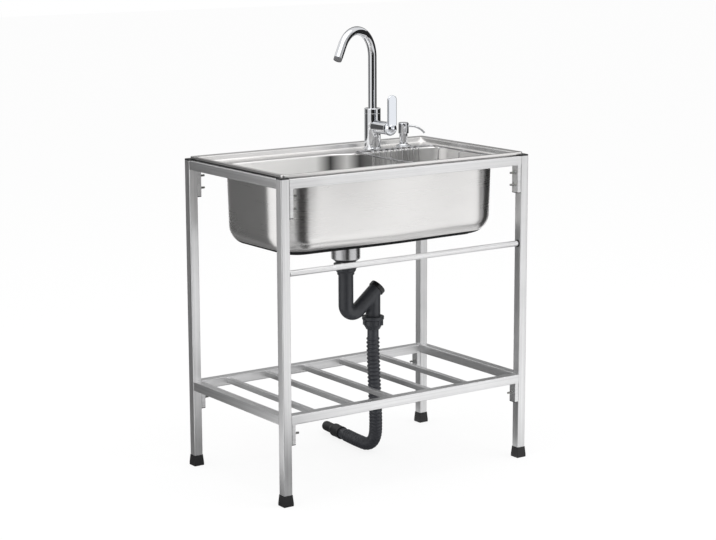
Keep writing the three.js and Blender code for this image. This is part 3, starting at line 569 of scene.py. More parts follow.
def brushed_sheet(name, base, pressing):
    """Steel sheet, brushed across on its walls and lengthwise on flat parts. The pressing is more
    satin inside, with painted reflections there: a little lighter at the front, and a sweep of
    dark and light tones along its back wall. A painted shadow darkens its rim over the left rail."""
    f = Finish(name)
    normal = f.normal()
    up = f.axis(normal, 2)
    flat = f.ramp(f.maths("ABSOLUTE", up), 0.55, 0.85)
    wall = f.noise(f.place((3.0, 3.0, 700.0)), 1.0, 4.0, 0.62)
    deck = f.noise(f.place((3.0, 700.0, 3.0)), 1.0, 4.0, 0.62)
    streak = wall * (1.0 - flat) + deck * flat
    cloud = f.noise(f.place((1.0, 1.0, 2.2)), 5.0, 3.0, 0.5)
    light = f.mix(f.ramp(cloud, 0.3, 0.7), tone(base, 0.96), tone(base, 1.03))
    scratch = f.ramp(streak, 0.60, 0.72)
    grain_and_painted_light = f.mix(scratch * 0.12, light, tone(base, 0.90))
    rough = 0.24 + 0.04 * streak + 0.04 * cloud
    metal = 1.0
    if pressing:
        here = f.place()
        x, y, z = (f.axis(here, i) for i in range(3))
        from_middle = f.node("ShaderNodeVectorMath", {"operation": "SUBTRACT"},
                             {0: here, 1: (0.0, -0.03, DECK - 0.045)})
        outward = f.node("ShaderNodeVectorMath", {"operation": "DOT_PRODUCT"},
                         {0: normal, 1: from_middle}, output=1)
        inner = f.ramp(0.0 - outward, 0.0, 0.01) * f.ramp(DECK - z, 0.002, 0.006)
        # Painted reflection inside the bowl: a lighter front, and bands of dark and light tones
        # along the back wall.
        painted_reflection_bands = f.node("ShaderNodeValToRGB", {"stops": PAINTED_REFLECTION_SWEEP}, {0: f.ramp(x, -0.40, 0.40)})
        inside_painted_reflection = f.mix(f.ramp(y, 0.080, 0.096), tone(base, 1.06), painted_reflection_bands)
        grain_and_painted_light = f.mix(inner, grain_and_painted_light, f.mix(scratch * 0.15, inside_painted_reflection, tone(base, 0.80)))
        # Painted shadow: a strip under the rim over the left rail is coloured like the black pad.
        painted_gap_shadow = f.ramp(z, DECK - 0.0009, DECK) * f.ramp(0.0 - x, 0.360, 0.364) \
            * f.ramp(0.0 - up, 0.02, 0.10)
        grain_and_painted_light = f.mix(painted_gap_shadow, grain_and_painted_light, unit().colours.pad)
        rough = rough + painted_gap_shadow * 0.5 + inner * 0.08
        metal = 1.0 - painted_gap_shadow - inner * 0.5
    return f.done(Base_Color=grain_and_painted_light, Metallic=metal, Roughness=rough,
                  Normal=f.bump(streak, 0.006, 0.0004))


def polished(name, base, smear):
    """Chrome with the faint smears of use."""
    f = Finish(name)
    smudge = f.noise(f.place((1.0, 1.0, 0.6)), 38.0, 4.0, 0.6)
    dull = f.ramp(smudge, 0.50, 0.75)
    spots = f.ramp(f.noise(f.place(), 420.0, 2.0, 0.5), 0.70, 0.78)
    shade = f.mix(spots * 0.2, f.mix(dull * 0.35, base, tone(base, 0.93)), tone(base, 0.80))
    return f.done(Base_Color=shade, Metallic=1.0, Roughness=0.035 + smear * dull + 0.10 * spots,
                  Normal=f.bump(smudge, 0.02, 0.0006))


def moulded(name, base, gloss, dust, texture):
    """Moulded plastic: fine orange peel, slight mottle, and a little dust on what faces up."""
    f = Finish(name)
    peel = f.noise(f.place(), texture, 3.0, 0.5)
    mottle = f.noise(f.place(), 45.0, 4.0, 0.6)
    settled = f.ramp(f.axis(f.normal(), 2), 0.25, 0.95) * f.ramp(mottle, 0.35, 0.7) * dust
    body = f.mix(f.ramp(mottle, 0.35, 0.65), tone(base, 0.88), tone(base, 1.12))
    dusty = f.mix(settled, body, tuple(c * 0.75 + 0.055 for c in base))
    return f.done(Base_Color=dusty, Roughness=gloss + 0.10 * mottle + 0.35 * settled,
                  Normal=f.bump(peel, 0.12, 0.0005), Specular_IOR_Level=0.5)


def rubber_sheet(name, base):
    """Damping sheet: matt, pebbled, with a rolled texture."""
    f = Finish(name)
    mottle = f.noise(f.place(), 30.0, 4.0, 0.6)
    body = f.mix(f.ramp(mottle, 0.3, 0.7), tone(base, 0.8), tone(base, 1.5))
    return f.done(Base_Color=body, Roughness=0.78 + 0.12 * mottle, Specular_IOR_Level=0.05,
                  Normal=f.bump(f.cells(320.0), 0.35, 0.0006))


def plated(name, base):
    """Zinc plating: pale, patchy and slightly spangled."""
    f = Finish(name)
    patch = f.noise(f.place(), 160.0, 4.0, 0.6)
    body = f.mix(f.ramp(patch, 0.35, 0.7), tone(base, 0.80), tone(base, 1.18))
    return f.done(Base_Color=f.mix(0.08, body, f.cells(420.0, 1)), Metallic=1.0,
                  Roughness=0.28 + 0.22 * patch, Normal=f.bump(patch, 0.10, 0.0004))


# Each finish: its slot, how it is made, its colour, and then what its maker asks for.
LOOKS = {
    **{f"stand_steel_{name}": ("stand_steel", satin_tube, "stand_steel", axis)
       for axis, name in enumerate("xyz")},
    "sink_steel": ("sink_steel", brushed_sheet, "sink_steel", True),
    "strainer_steel": ("sink_steel", brushed_sheet, "strainer", False),
    "sound_pad": ("sound_pad", rubber_sheet, "pad"),
    "tap_chrome": ("tap_chrome", polished, "chrome", 0.05),
    "lever_chrome": ("tap_chrome", polished, "lever", 0.10),
    # The core is painted dark, as a reflection under the lever's hood.
    "core_chrome": ("tap_chrome", polished, "core", 0.05),
    "basket_wire": ("basket_wire", polished, "wire", 0.05),
    "zinc_steel": ("zinc_steel", plated, "zinc"),
    "black_pipe": ("black_pipe", moulded, "pipe", 0.34, 0.15, 520.0),
    "hose_black": ("black_pipe", moulded, "hose", 0.30, 0.2, 620.0),
    "cap_black": ("black_pipe", moulded, "black", 0.16, 0.1, 300.0),
    "foot_black": ("black_foot", moulded, "black", 0.42, 0.2, 900.0),
    "aerator_black": ("aerator_black", moulded, "aerator", 0.30, 0.1, 700.0),
    "white_plastic": ("white_plastic", moulded, "plastic", 0.34, 0.0, 500.0),
}
FINISHES = {}


def finish(look):
    """Makes a finish once, and gives it again when it is asked for again."""
    if look not in FINISHES:
        make, colour_name, *details = LOOKS[look][1:]
        FINISHES[look] = make(look, tuple(getattr(unit().colours, colour_name)), *details)
    return FINISHES[look]


# ---------------------------------------------------------------- places on the stand

def box(node):
    low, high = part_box(node)
    return Vector(low), Vector(high)


def middle(node):
    low, high = box(node)
    return (low + high) / 2


DRAIN = middle("strainer_body")
DRAIN.z = 0.0
DECK = box("tap_nut")[1].z + 0.0012
RIM_LOW = box("leg_cap_front_left")[1].z
RIM_TOP = box("sink")[1].z
TAP = middle("tap_nut")
SOAP = middle("dispenser_nut")

# Points of the hose's route, from the outlet nut down and along the floor.
HOSE_ROUTE = [Vector(point) for point in (
    (0.0325, -0.025, 0.3757), (0.0325, -0.025, 0.3307), (0.034, -0.025, 0.280),
    (0.037, -0.0245, 0.220), (0.042, -0.0205, 0.170), (0.049, -0.0135, 0.130),
    (0.0575, -0.002, 0.093), (0.066, 0.012, 0.065), (0.072, 0.029, 0.043),
    (0.0755, 0.050, 0.027), (0.076, 0.073, 0.0191), (0.075, 0.098, 0.0191),
    (0.0765, 0.130, 0.0191), (0.080, 0.165, 0.0191), (0.083, 0.200, 0.0191))]
HOSE_RADIUS, HOSE_GROOVE, HOSE_BORE, RIB_PITCH = 0.0185, 0.0158, 0.0132, 0.011

# A rib's outline: places along its pitch, and the rise from the groove.
RIB = ((0.0, 0.0), (0.16, 0.05), (0.28, 0.55), (0.38, 0.93), (0.5, 1.0), (0.62, 0.93),
       (0.72, 0.55), (0.84, 0.05))


def route_curve(points):
    """Points on the smooth curve through a route, its knots spaced by the root of the distance."""
    steps = 60
    ends = [points[0] * 2 - points[1], *points, points[-1] * 2 - points[-2]]
    line = []
    for p0, p1, p2, p3 in zip(ends, ends[1:], ends[2:], ends[3:]):
        t1, t2, t3 = ((end - start).length ** 0.5 for start, end in ((p0, p1), (p1, p2), (p2, p3)))
        m1 = ((p1 - p0) / t1 - (p2 - p0) / (t1 + t2) + (p2 - p1) / t2) * t2
        m2 = ((p2 - p1) / t2 - (p3 - p1) / (t2 + t3) + (p3 - p2) / t3) * t2
        for k in range(steps):
            t = k / steps
            line.append(p1 * (2 * t ** 3 - 3 * t ** 2 + 1) + m1 * (t ** 3 - 2 * t ** 2 + t)
                        + p2 * (3 * t ** 2 - 2 * t ** 3) + m2 * (t ** 3 - t ** 2))
    return [*line, points[-1]]


def run_of(line):
    """Distances along a line, one for each of its points."""
    run = [0.0]
    for start, end in zip(line, line[1:]):
        run.append(run[-1] + (end - start).length)
    return run


def point_at(line, run, distance):
    for i in range(1, len(line)):
        if run[i] >= distance:
            return line[i - 1].lerp(line[i], (distance - run[i - 1]) / (run[i] - run[i - 1]))
    return line[-1]


# ---------------------------------------------------------------- camera and stage

class SINK_OT_camera(bpy.types.Operator):
    """Sets the camera where the unit is seen from the front left, a little above its rim"""
    bl_idname = "sink.camera"
    bl_label = "Camera"

    def execute(self, context):
        yaw, pitch, roll = (math.radians(angle) for angle in (34.936, 10.881, -0.204))
        forward = Vector((math.sin(yaw) * math.cos(pitch), math.cos(yaw) * math.cos(pitch),
                          -math.sin(pitch)))
        right = forward.cross(Vector((0, 0, 1))).normalized()
        up = right.cross(forward)
        right, up = (right * math.cos(roll) + up * math.sin(roll),
                     up * math.cos(roll) - right * math.sin(roll))
        deselect()
        bpy.ops.object.camera_add(location=(-2.95755, -4.23432, 1.53321))
        camera = bpy.context.object
        camera.name = "camera"
        turn = Matrix((right, up, -forward)).transposed().to_4x4()
        camera.matrix_world = Matrix.Translation(camera.location) @ turn
        camera.data.sensor_fit = "HORIZONTAL"
        camera.data.sensor_width = 36.0
        camera.data.lens = 96.676
        camera.data.clip_end = 100.0
        bpy.context.scene.camera = camera
        return {"FINISHED"}


def card(name, corners, strength):
    """A card that only reflections see: it shades the steel as a grey screen beside it would."""
    deselect()
    bpy.ops.mesh.primitive_plane_add(size=1.0)
    piece = named(name)
    edit(piece)
    mesh = bmesh.from_edit_mesh(piece.data)
    mesh.verts.ensure_lookup_table()
    for index, corner in zip((0, 1, 3, 2), corners):
        mesh.verts[index].co = corner
    bmesh.update_edit_mesh(piece.data)
    leave()
    f = Finish(name)
    glow = f.node("ShaderNodeEmission", None, {0: (1.0, 1.0, 1.0), 1: strength})
    f.node("ShaderNodeOutputMaterial", None, {0: glow})
    piece.data.materials.append(f.material)
    piece.visible_camera = piece.visible_diffuse = piece.visible_shadow = False
    piece.visible_transmission = piece.visible_volume_scatter = False


def screen(name, start, end, distance, top, strength, near=0.35, foot=0.0):
    """A grey screen between two azimuths in degrees. From the near distance on, the floor before it
    has its own shade."""
    def spot(azimuth, reach, z):
        a = math.radians(azimuth)
        return Vector((reach * math.cos(a), reach * math.sin(a), z))
    card(name, (spot(start, distance, foot), spot(end, distance, foot),
                spot(end, distance, top), spot(start, distance, top)), strength)
    if near < distance:
        card(f"{name}_floor", (spot(start, near, 0.001), spot(end, near, 0.001),
                               spot(end, distance, 0.001), spot(start, distance, 0.001)), strength)


SCREENS = (
    ("back_left_screen", 100.0, 154.0, 1.3, 1.5, 0.115),
    ("camera_screen", -125.0, -96.0, 2.2, 2.6, 0.02),
    ("left_of_camera_screen", -158.0, -125.0, 2.2, 0.43, 0.42),
    ("left_of_camera_above", -146.0, -125.0, 2.2, 2.6, 0.05, 2.2, 0.45),
    ("right_screen", -34.0, 16.0, 1.9, 1.6, 0.03),
    ("right_screen_above", 16.0, 44.0, 1.9, 1.6, 0.10, 1.9, 0.45),
    ("tap_screen_near_camera", -96.0, -68.0, 2.0, 0.95, 0.09, 2.0, 0.47),
    ("tap_screen_right", -42.0, -34.0, 2.0, 0.95, 0.05, 2.0, 0.47),
    ("back_screen", 26.0, 84.0, 3.0, 3.6, 0.30, 3.0),
    ("front_screen", -88.0, -25.0, 2.8, 3.5, 0.62, 2.8, 1.45))

LAMPS = (
    ("key_light", (2.4, -3.0, 3.0), (0.0, 0.0, 0.6), 3.2, 36.0),
    ("top_light", (-0.4, -0.4, 3.6), (0.0, 0.0, 0.5), 3.4, 34.0),
    ("left_light", (-3.2, -0.6, 2.2), (0.0, 0.0, 0.6), 2.2, 12.0))


class SINK_OT_stage(bpy.types.Operator):
    """Adds the floor, the soft lights and the screens that the steel reflects"""
    bl_idname = "sink.stage"
    bl_label = "Stage"

    def execute(self, context):
        bpy.context.scene.view_settings.view_transform = "Standard"
        base = tuple(unit().colours.background)
        deselect()
        bpy.ops.mesh.primitive_plane_add(size=40.0, location=(0, 0, 0))
        floor = named("floor")
        f = Finish("floor")
        seen, glossy, through = f.rays("Camera", "Glossy", "Transmission")
        lit = f.node("ShaderNodeBsdfDiffuse", None, {0: base})
        white = f.node("ShaderNodeEmission", None, {0: base, 1: 1.0})
        shown = f.maths("MINIMUM", seen * 0.85 + glossy + through, 1.0)
        mixed = f.node("ShaderNodeMixShader", None, {0: shown, 1: lit, 2: white})
        f.node("ShaderNodeOutputMaterial", None, {0: mixed})
        floor.data.materials.append(f.material)

        world = bpy.data.worlds.new("studio")
        bpy.context.scene.world = world
        w = Finish("studio", world)
        seen, glossy, through = w.rays("Camera", "Glossy", "Transmission")
        shown = w.maths("MINIMUM", seen + glossy + through, 1.0)
        sky = w.node("ShaderNodeBackground", None, {0: base, 1: 1.0})
        fill = w.node("ShaderNodeBackground", None, {0: (1.0, 1.0, 1.0), 1: 0.85})
        both = w.node("ShaderNodeMixShader", None, {0: shown, 1: fill, 2: sky})
        w.node("ShaderNodeOutputWorld", None, {0: both})

        for name, place, aim, size, power in LAMPS:
            deselect()
            bpy.ops.object.light_add(type="AREA", location=place)
            lamp = bpy.context.object
            lamp.name = name
            lamp.data.shape = "SQUARE"
            lamp.data.size = size
            lamp.data.energy = power
            way = (Vector(aim) - Vector(place)).to_track_quat("-Z", "Y")
            lamp.matrix_world = Matrix.Translation(place) @ way.to_matrix().to_4x4()

        for details in SCREENS:
            screen(*details)
        # Floor cards that only reflections see: under and behind the unit a painted shadow, to its
        # right a grey floor.
        for name, left, front, right, back, strength in (
                ("floor_behind", -0.60, -0.30, 0.30, 1.60, 0.16),
                ("floor_right", 0.30, -0.50, 1.10, 1.00, 0.70)):
            card(name, [Vector((x, y, 0.0015)) for x, y in (
                (left, front), (right, front), (right, back), (left, back))], strength)
        return {"FINISHED"}


# ---------------------------------------------------------------- the cord

class SINK_OT_drain_hose(bpy.types.Operator):
    """Models the ribbed drain hose and the cuff on its end"""
    bl_idname = "sink.drain_hose"
    bl_label = "Drain hose"

    def execute(self, context):
        line = route_curve(HOSE_ROUTE)
        run = run_of(line)
        whole = run[-1]
        ribs_held = math.floor((whole - 2 * HOSE_RADIUS) / RIB_PITCH)
        first = (whole - ribs_held * RIB_PITCH) / 2
        places, sizes = [0.0], [HOSE_GROOVE]
        for rib in range(ribs_held):
            for part, rise in RIB:
                places.append(first + (rib + part) * RIB_PITCH)
                sizes.append(HOSE_GROOVE + (HOSE_RADIUS - HOSE_GROOVE) * rise)
        places += [first + ribs_held * RIB_PITCH, whole]
        sizes += [HOSE_GROOVE, HOSE_GROOVE]
        outside = rings_along([point_at(line, run, d) for d in places], sizes, 28)
        within = [point_at(line, run, whole * k / 60) for k in range(61)]
        inside = rings_along(within, HOSE_BORE, 28)
        hose = skin("ribbed_drain_hose", [*outside, *inside[::-1]], closed=True)
        settle(hose, "stand", "hose_black", ["drain_hose"], 50.0, weighted=False)

        # The cuff: a sleeve over the hose, a step, and a plain spigot with a bead at its end.
        cuff = turned("hose_end_cuff", [
            (0.0122, 0.0004), (0.0186, 0.0004), (0.0189, 0.0020), (0.0189, 0.0060),
            (0.0183, 0.0075), (0.0183, 0.0360), (0.0189, 0.0375), (0.0189, 0.0430),
            (0.0182, 0.0445), (0.0147, 0.0540), (0.0144, 0.0560), (0.0144, 0.0930),
            (0.0136, 0.0975), (0.0122, 0.0975)],
            place=lined_up(line[-1], (line[-1] - line[-2]).normalized()), segments=56, soft=0.0008)
        settle(cuff, "stand", "foot_black", ["hose_cuff"])
        [tuple(point) for point in line[::20]] + [tuple(line[-1])]
        return {"FINISHED"}


# ---------------------------------------------------------------- stand

class SINK_OT_legs(bpy.types.Operator):
    """Models the four square-tube legs, each with its foot and its cap"""
    bl_idname = "sink.legs"
    bl_label = "Legs"

    def foot(self, corner):
        """A block drawn in to the tube's size, with a plug up inside it."""
        low, high = box(f"foot_{corner}")
        straight, narrower = 0.0075, 26.0 / 30.0
        top = low.z + unit().stand.foot_height
        foot = block(f"{corner}_foot", low, (high.x, high.y, low.z + straight))
        edit(foot)
        pick("FACE", facing(1))
        extrude(top - low.z - straight)
        centre = (low + high) / 2
        for vertex in bmesh.from_edit_mesh(foot.data).verts:
            if vertex.co.z > top - NEAR:
                for i in (0, 1):
                    vertex.co[i] = centre[i] + (vertex.co[i] - centre[i]) * narrower
        bmesh.update_edit_mesh(foot.data)
        draw_plug(0.0022, 0.016)
        bevel(lambda edge: not all(abs(v.co.z - top) < NEAR for v in edge.verts)
              and edge.calc_face_angle(0.0) > 0.3, 0.0012, 3)
        leave()
        settle(foot, "stand", "foot_black", [f"foot_{corner}"])

    def cap(self, corner):
        """A thin plate with rounded edges, and its plug down inside the tube."""
        low, high = box(f"leg_cap_{corner}")
        cap = block(f"{corner}_cap", (low.x, low.y, high.z - unit().stand.cap_height), high)
        edit(cap)
        bevel(along(2), 0.0022, 4)
        bevel(lambda edge: all(v.co.z > high.z - NEAR for v in edge.verts), 0.0012, 3)
        draw_plug(0.0020, -0.011)
        leave()
        settle(cap, "stand", "foot_black", [f"leg_cap_{corner}"])

    def execute(self, context):
        sizes = unit().stand
        for corner in CORNERS:
            leg = square_tube(f"{corner}_leg", *box(f"leg_{corner}"), 2, sizes.corner, sizes.wall)
            settle(leg, "stand", "stand_steel_z", [f"leg_{corner}"])
            self.foot(corner)
            self.cap(corner)
        return {"FINISHED"}


class SINK_OT_rails(bpy.types.Operator):
    """Models the rails round the top and the shelf, with the brackets that bolt them to the legs"""
    bl_idname = "sink.rails"
    bl_label = "Rails"

    def reach(self, end):
        """The bracket's two sides along the rail, from the rail's end inwards."""
        return sorted((end, end * (abs(end) - unit().stand.bracket_depth) / abs(end)))

    def bracket(self, name, end, low, high, rail_low):
        """A channel that hangs from the rail against the leg, open below until its plug."""
        x0, x1 = self.reach(end)
        return square_tube(name, (x0, low.y, low.z + unit().stand.plug_height),
                           (x1, high.y, rail_low + 0.0010), 2, 0.0018, 0.0015)

    def plug(self, name, end, low, high):
        x0, x1 = self.reach(end)
        gap = 0.0001
        plug = block(name, (x0 + gap, low.y + gap, low.z),
                     (x1 - gap, high.y - gap, low.z + unit().stand.plug_height))
        edit(plug)
        bevel(along(2), 0.0018, 3)
        bevel(lambda edge: all(v.co.z < low.z + NEAR for v in edge.verts), 0.0008, 2)
        draw_plug(0.0018, 0.009)
        leave()
        settle(plug, "stand", "foot_black")

    def execute(self, context):
        sizes = unit().stand
        for level in ("upper_rail", "shelf_rail"):
            for side in ("left", "right"):
                rail = square_tube(f"{side}_{level}", *box(f"{level}_{side}"), 1, sizes.corner,
                                   sizes.wall)
                settle(rail, "stand", "stand_steel_y", [f"{level}_{side}"])
            for side in ("front", "back"):
                low, high = box(f"{level}_{side}")
                rail_low = high.z - (high.y - low.y)
                tube = square_tube("tube", (low.x, low.y, rail_low), high, 0, sizes.corner,
                                   sizes.wall)
                ends = [self.bracket(f"bracket_{i}", end, low, high, rail_low)
                        for i, end in enumerate((low.x, high.x))]
                rail = joined(f"{side}_{level}", [tube, *ends])
                settle(rail, "stand", "stand_steel_x", [f"{level}_{side}"])
                for hand, end in (("left", low.x), ("right", high.x)):
                    self.plug(f"{side}_{level}_plug_{hand}", end, low, high)
        return {"FINISHED"}


class SINK_OT_shelf(bpy.types.Operator):
    """Models the shelf's five bars and the round towel rail"""
    bl_idname = "sink.shelf"
    bl_label = "Shelf bars and towel rail"

    def execute(self, context):
        sizes = unit().stand
        for i in range(1, 6):
            bar = square_tube(f"bar_{i}", *box(f"shelf_bar_{i}"), 1, sizes.bar_corner, 0.001)
            settle(bar, "stand", "stand_steel_y", [f"shelf_bar_{i}"])
        low, high = box("towel_rail")
        centre = (low + high) / 2
        radius = sizes.rail_radius
        line = spaced([Vector((x, centre.y, centre.z)) for x in (low.x, high.x)], 0.05)
        rail = tube_along("towel_bar", line, radius, radius - 0.001, 40)
        settle(rail, "stand", "stand_steel_x", ["towel_rail"])
        for hand, end, way in (("left", low.x, 1.0), ("right", high.x, -1.0)):
            ring = turned(f"towel_bar_ring_{hand}", [
                (radius + 0.0001, 0.0001), (radius + 0.0022, 0.0001), (radius + 0.0022, 0.0016),
                (radius + 0.0010, 0.0030), (radius + 0.0001, 0.0030)],
                place=Matrix.Translation((end, centre.y, centre.z)) @ Matrix.Rotation(
                    way * math.pi / 2, 4, "Y"), segments=40, soft=0.0004)
            settle(ring, "stand", "foot_black")
        return {"FINISHED"}


class SINK_OT_bolts(bpy.types.Operator):
    """Models one bolt with its nut and thread, and copies it to every bracket"""
    bl_idname = "sink.bolts"
    bl_label = "Bolts"

    def pattern(self, head_height):
        """The bolt along +Z, with z = 0 on the leg's inner face."""
        radius, across, seat, tail, under_head = 0.003, 0.010, 0.012, 0.017, -0.0012
        corner, tip = across / math.sqrt(3), seat + tail
        thread = [(0.0, under_head), (radius * 0.9, under_head), (radius * 0.9, seat + 0.005)]
        z = seat + 0.0055
        while z < tip - 0.0012:
            thread += [(radius * 0.86, z), (radius, z + 0.00035)]
            z += 0.0007
        thread += [(radius * 0.8, tip - 0.0005), (radius * 0.6, tip), (0.0, tip)]
        shank = turned("shank", thread, segments=24, soft=0.0)
        nut = turned("nut", [
            (radius * 0.92, seat), (corner * 0.95, seat), (corner, seat + 0.0006),
            (corner, seat + 0.0042), (corner * 0.9, seat + 0.005), (radius * 0.92, seat + 0.005)],
            segments=48, soft=0.0002, grip=flats(6, 0.02))
        head = turned("head", [
            (0.0, -head_height), (corner * 0.9, -head_height), (corner, 0.0005 - head_height),
            (corner, under_head), (0.0, under_head)],
            segments=48, soft=0.0002, grip=flats(6, 0.02))
        return joined("bolt", [shank, nut, head])

    def execute(self, context):
        head_height = 0.0037
        pattern = self.pattern(head_height)
        for level in ("upper_bolt_1", "upper_bolt_2", "shelf_bolt"):
            for corner in CORNERS:
                node = f"{level}_{corner}"
                low, high = box(node)
                left = corner.endswith("left")
                face = low.x + head_height if left else high.x - head_height
                bolt = pattern.copy()
                bolt.data = pattern.data.copy()
                bolt.name = bolt.data.name = f"{node}_and_nut"
                bpy.context.scene.collection.objects.link(bolt)
                bolt.data.transform(
                    Matrix.Translation((face, (low.y + high.y) / 2, (low.z + high.z) / 2))
                    @ Matrix.Rotation(math.pi / 2 * (1 if left else -1), 4, "Y"))
                settle(bolt, "stand", "zinc_steel", [node], 40.0)
        drop(pattern)
        return {"FINISHED"}


# ---------------------------------------------------------------- sink

CORNER_STEPS, LONG_STEPS, SHORT_STEPS = 16, 40, 8

# The bowl's inner edge: its distances from the sink's sides, front and back, how far its front
# bows out, and the step forward of its back behind the tap, with where it starts and its run.
BOWL_SIDE, BOWL_FRONT, BOWL_BACK, FRONT_BOW = 0.032, 0.038, 0.098, 0.009
LEDGE, LEDGE_FROM_RIGHT, LEDGE_RUN = 0.027, 0.410, 0.090


def smooth_step(x, start, end):
    t = min(max((x - start) / (end - start), 0.0), 1.0)
    return t * t * (3 - 2 * t)


def plan_outline(left, right, front, back, front_radius, back_radius, bow=0.0, ledge=0.0,
                 ledge_from=0.0):
    """A closed outline seen from above, anticlockwise from the front left corner."""
    points = []

    def back_at(x):
        return back - ledge * smooth_step(x, ledge_from, ledge_from + LEDGE_RUN)

    def corner(x, y, radius, start):
        for i in range(CORNER_STEPS):
            a = start + i / CORNER_STEPS * math.pi / 2
            points.append((x + radius * math.cos(a), y + radius * math.sin(a)))

    def line(start, end, steps, shape=None):
        for i in range(steps):
            t = i / steps
            x = start[0] + (end[0] - start[0]) * t
            points.append((x, shape(x, t) if shape else start[1] + (end[1] - start[1]) * t))

    corner(left + front_radius, front + front_radius, front_radius, math.pi)
    line((left + front_radius, front), (right - front_radius, front), LONG_STEPS,
         lambda x, t: front - bow * math.sin(math.pi * t) ** 2)
    corner(right - front_radius, front + front_radius, front_radius, -math.pi / 2)
    line((right, front + front_radius), (right, back_at(right) - back_radius), SHORT_STEPS)
    corner(right - back_radius, back_at(right) - back_radius, back_radius, 0.0)
    line((right - back_radius, back), (left + back_radius, back), LONG_STEPS,
         lambda x, t: back_at(x))
    corner(left + back_radius, back - back_radius, back_radius, math.pi / 2)
    line((left, back - back_radius), (left, front + front_radius), SHORT_STEPS)
    return points


def level(outline, z):
    return [Vector((x, y, z)) for x, y in outline]


def rim_rings(profile, soft, steps):
    """Rings round the rim for a profile of (distance in from the sink's sides, height)."""
    low, high = box("sink")
    rings = []
    for inset, z in soften(profile, soft, steps):
        radius = max(0.008 - inset / 2, 0.002)
        rings.append(level(plan_outline(low.x + inset, high.x - inset, low.y + inset,
                                        high.y - inset, radius, radius), z))
    return rings


def bowl_outline(grow):
    """The bowl's outline, grown or shrunk from the inside of its upper edge."""
    sizes = unit().sink
    low, high = box("sink")
    ledge_from = box("leg_front_right")[1].x - LEDGE_FROM_RIGHT
    return plan_outline(low.x + BOWL_SIDE - grow, high.x - BOWL_SIDE + grow,
                        low.y + BOWL_FRONT - grow, high.y - BOWL_BACK + grow,
                        sizes.front_corner + grow, sizes.back_corner + grow, FRONT_BOW, LEDGE,
                        ledge_from)


def drain_circle(radius):
    ring = []
    for x, y in bowl_outline(0.0):
        a = math.atan2(y - DRAIN.y, x - DRAIN.x)
        ring.append((DRAIN.x + radius * math.cos(a), DRAIN.y + radius * math.sin(a)))
    return ring


class SINK_OT_sink(bpy.types.Operator):
    """Models the pressed sink: its rim, the sunk deck and the bowl, in one sheet"""
    bl_idname = "sink.pressing"
    bl_label = "Sink"

    def fillet_rings(self, thickness, first, last, steps):
        """Rings down the floor's fillet, between two angles from the wall to the floor."""
        sizes = unit().sink
        foot = DECK - sizes.bowl_depth + sizes.fillet
        radius = sizes.fillet + thickness
        rings = []
        for i in range(steps + 1):
            a = first + i / steps * (last - first)
            inward = sizes.draw_in + radius * (1 - math.cos(a)) - thickness
            rings.append(level(bowl_outline(-inward), foot - radius * math.sin(a)))
        return rings

    def bowl(self, thickness):
        """Rings from the deck's edge down the bowl to its drain."""
        sizes = unit().sink
        rings = []
        roll = sizes.roll - thickness * 0.2
        for i in range(9):
            a = i / 8 * math.pi / 2
            grow = thickness + (sizes.roll - thickness) * (1 - math.sin(a))
            rings.append(level(bowl_outline(grow), DECK - thickness - roll * (1 - math.cos(a))))
        rings += self.fillet_rings(thickness, 0.0, math.pi / 2, 14)
        edge, drain = bowl_outline(-(sizes.draw_in + sizes.fillet)), drain_circle(0.0407)
        for part in (0.35, 0.7, 1.0):
            rings.append(level([(a[0] + (b[0] - a[0]) * part, a[1] + (b[1] - a[1]) * part)
                                for a, b in zip(edge, drain)], DECK - sizes.bowl_depth - thickness))
        return rings

    def execute(self, context):
        sizes = unit().sink
        wall = sizes.wall
        rim = [(0.0, RIM_LOW), (0.0, RIM_TOP), (0.010, RIM_TOP), (0.017, RIM_TOP - 0.0025),
               (0.021, DECK + 0.001), (0.023, DECK), (0.026, DECK)]
        under = [(0.026, DECK - wall), (0.0215, DECK - wall), (0.0198, DECK - wall + 0.0008),
                 (0.0158, RIM_LOW)]
        sink = skin("pressed_sink", [
            *rim_rings(rim, 0.0012, 4), *self.bowl(0.0), *self.bowl(wall)[::-1],
            *rim_rings(under, 0.0008, 3)], closed=True)
        settle(sink, "stand", "sink_steel", ["sink"], 40.0)

        # Damping sheet: flat, with rounded edges and a hole round the strainer.
        low, high = box("sound_pad")
        shrink, ease = -(sizes.draw_in + sizes.fillet), 0.0006
        outer, inner = bowl_outline(shrink), drain_circle(0.0425)
        edge = bowl_outline(shrink - ease)
        pad = skin("damping_sheet", [
            level(inner, high.z), level(edge, high.z), level(outer, high.z - ease),
            level(outer, low.z + ease), level(edge, low.z), level(inner, low.z)], closed=True)
        settle(pad, "stand", "sound_pad", ["sound_pad"])

        # A dark band of painted shade runs a little way up the floor's fillet, from the sheet's
        # edge.
        faces = []
        for thickness, rise in ((wall + 0.0003, 0.0095), (wall + 0.0001, 0.0094)):
            first = math.asin((sizes.fillet - rise) / (sizes.fillet + thickness))
            faces.append(self.fillet_rings(thickness, first, math.radians(88.0), 8))
        painted_shade_band = skin("damping_coat", [*faces[0], *faces[1][::-1]], closed=True)
        settle(painted_shade_band, "stand", "sound_pad")
        return {"FINISHED"}


# ---------------------------------------------------------------- strainer and trap

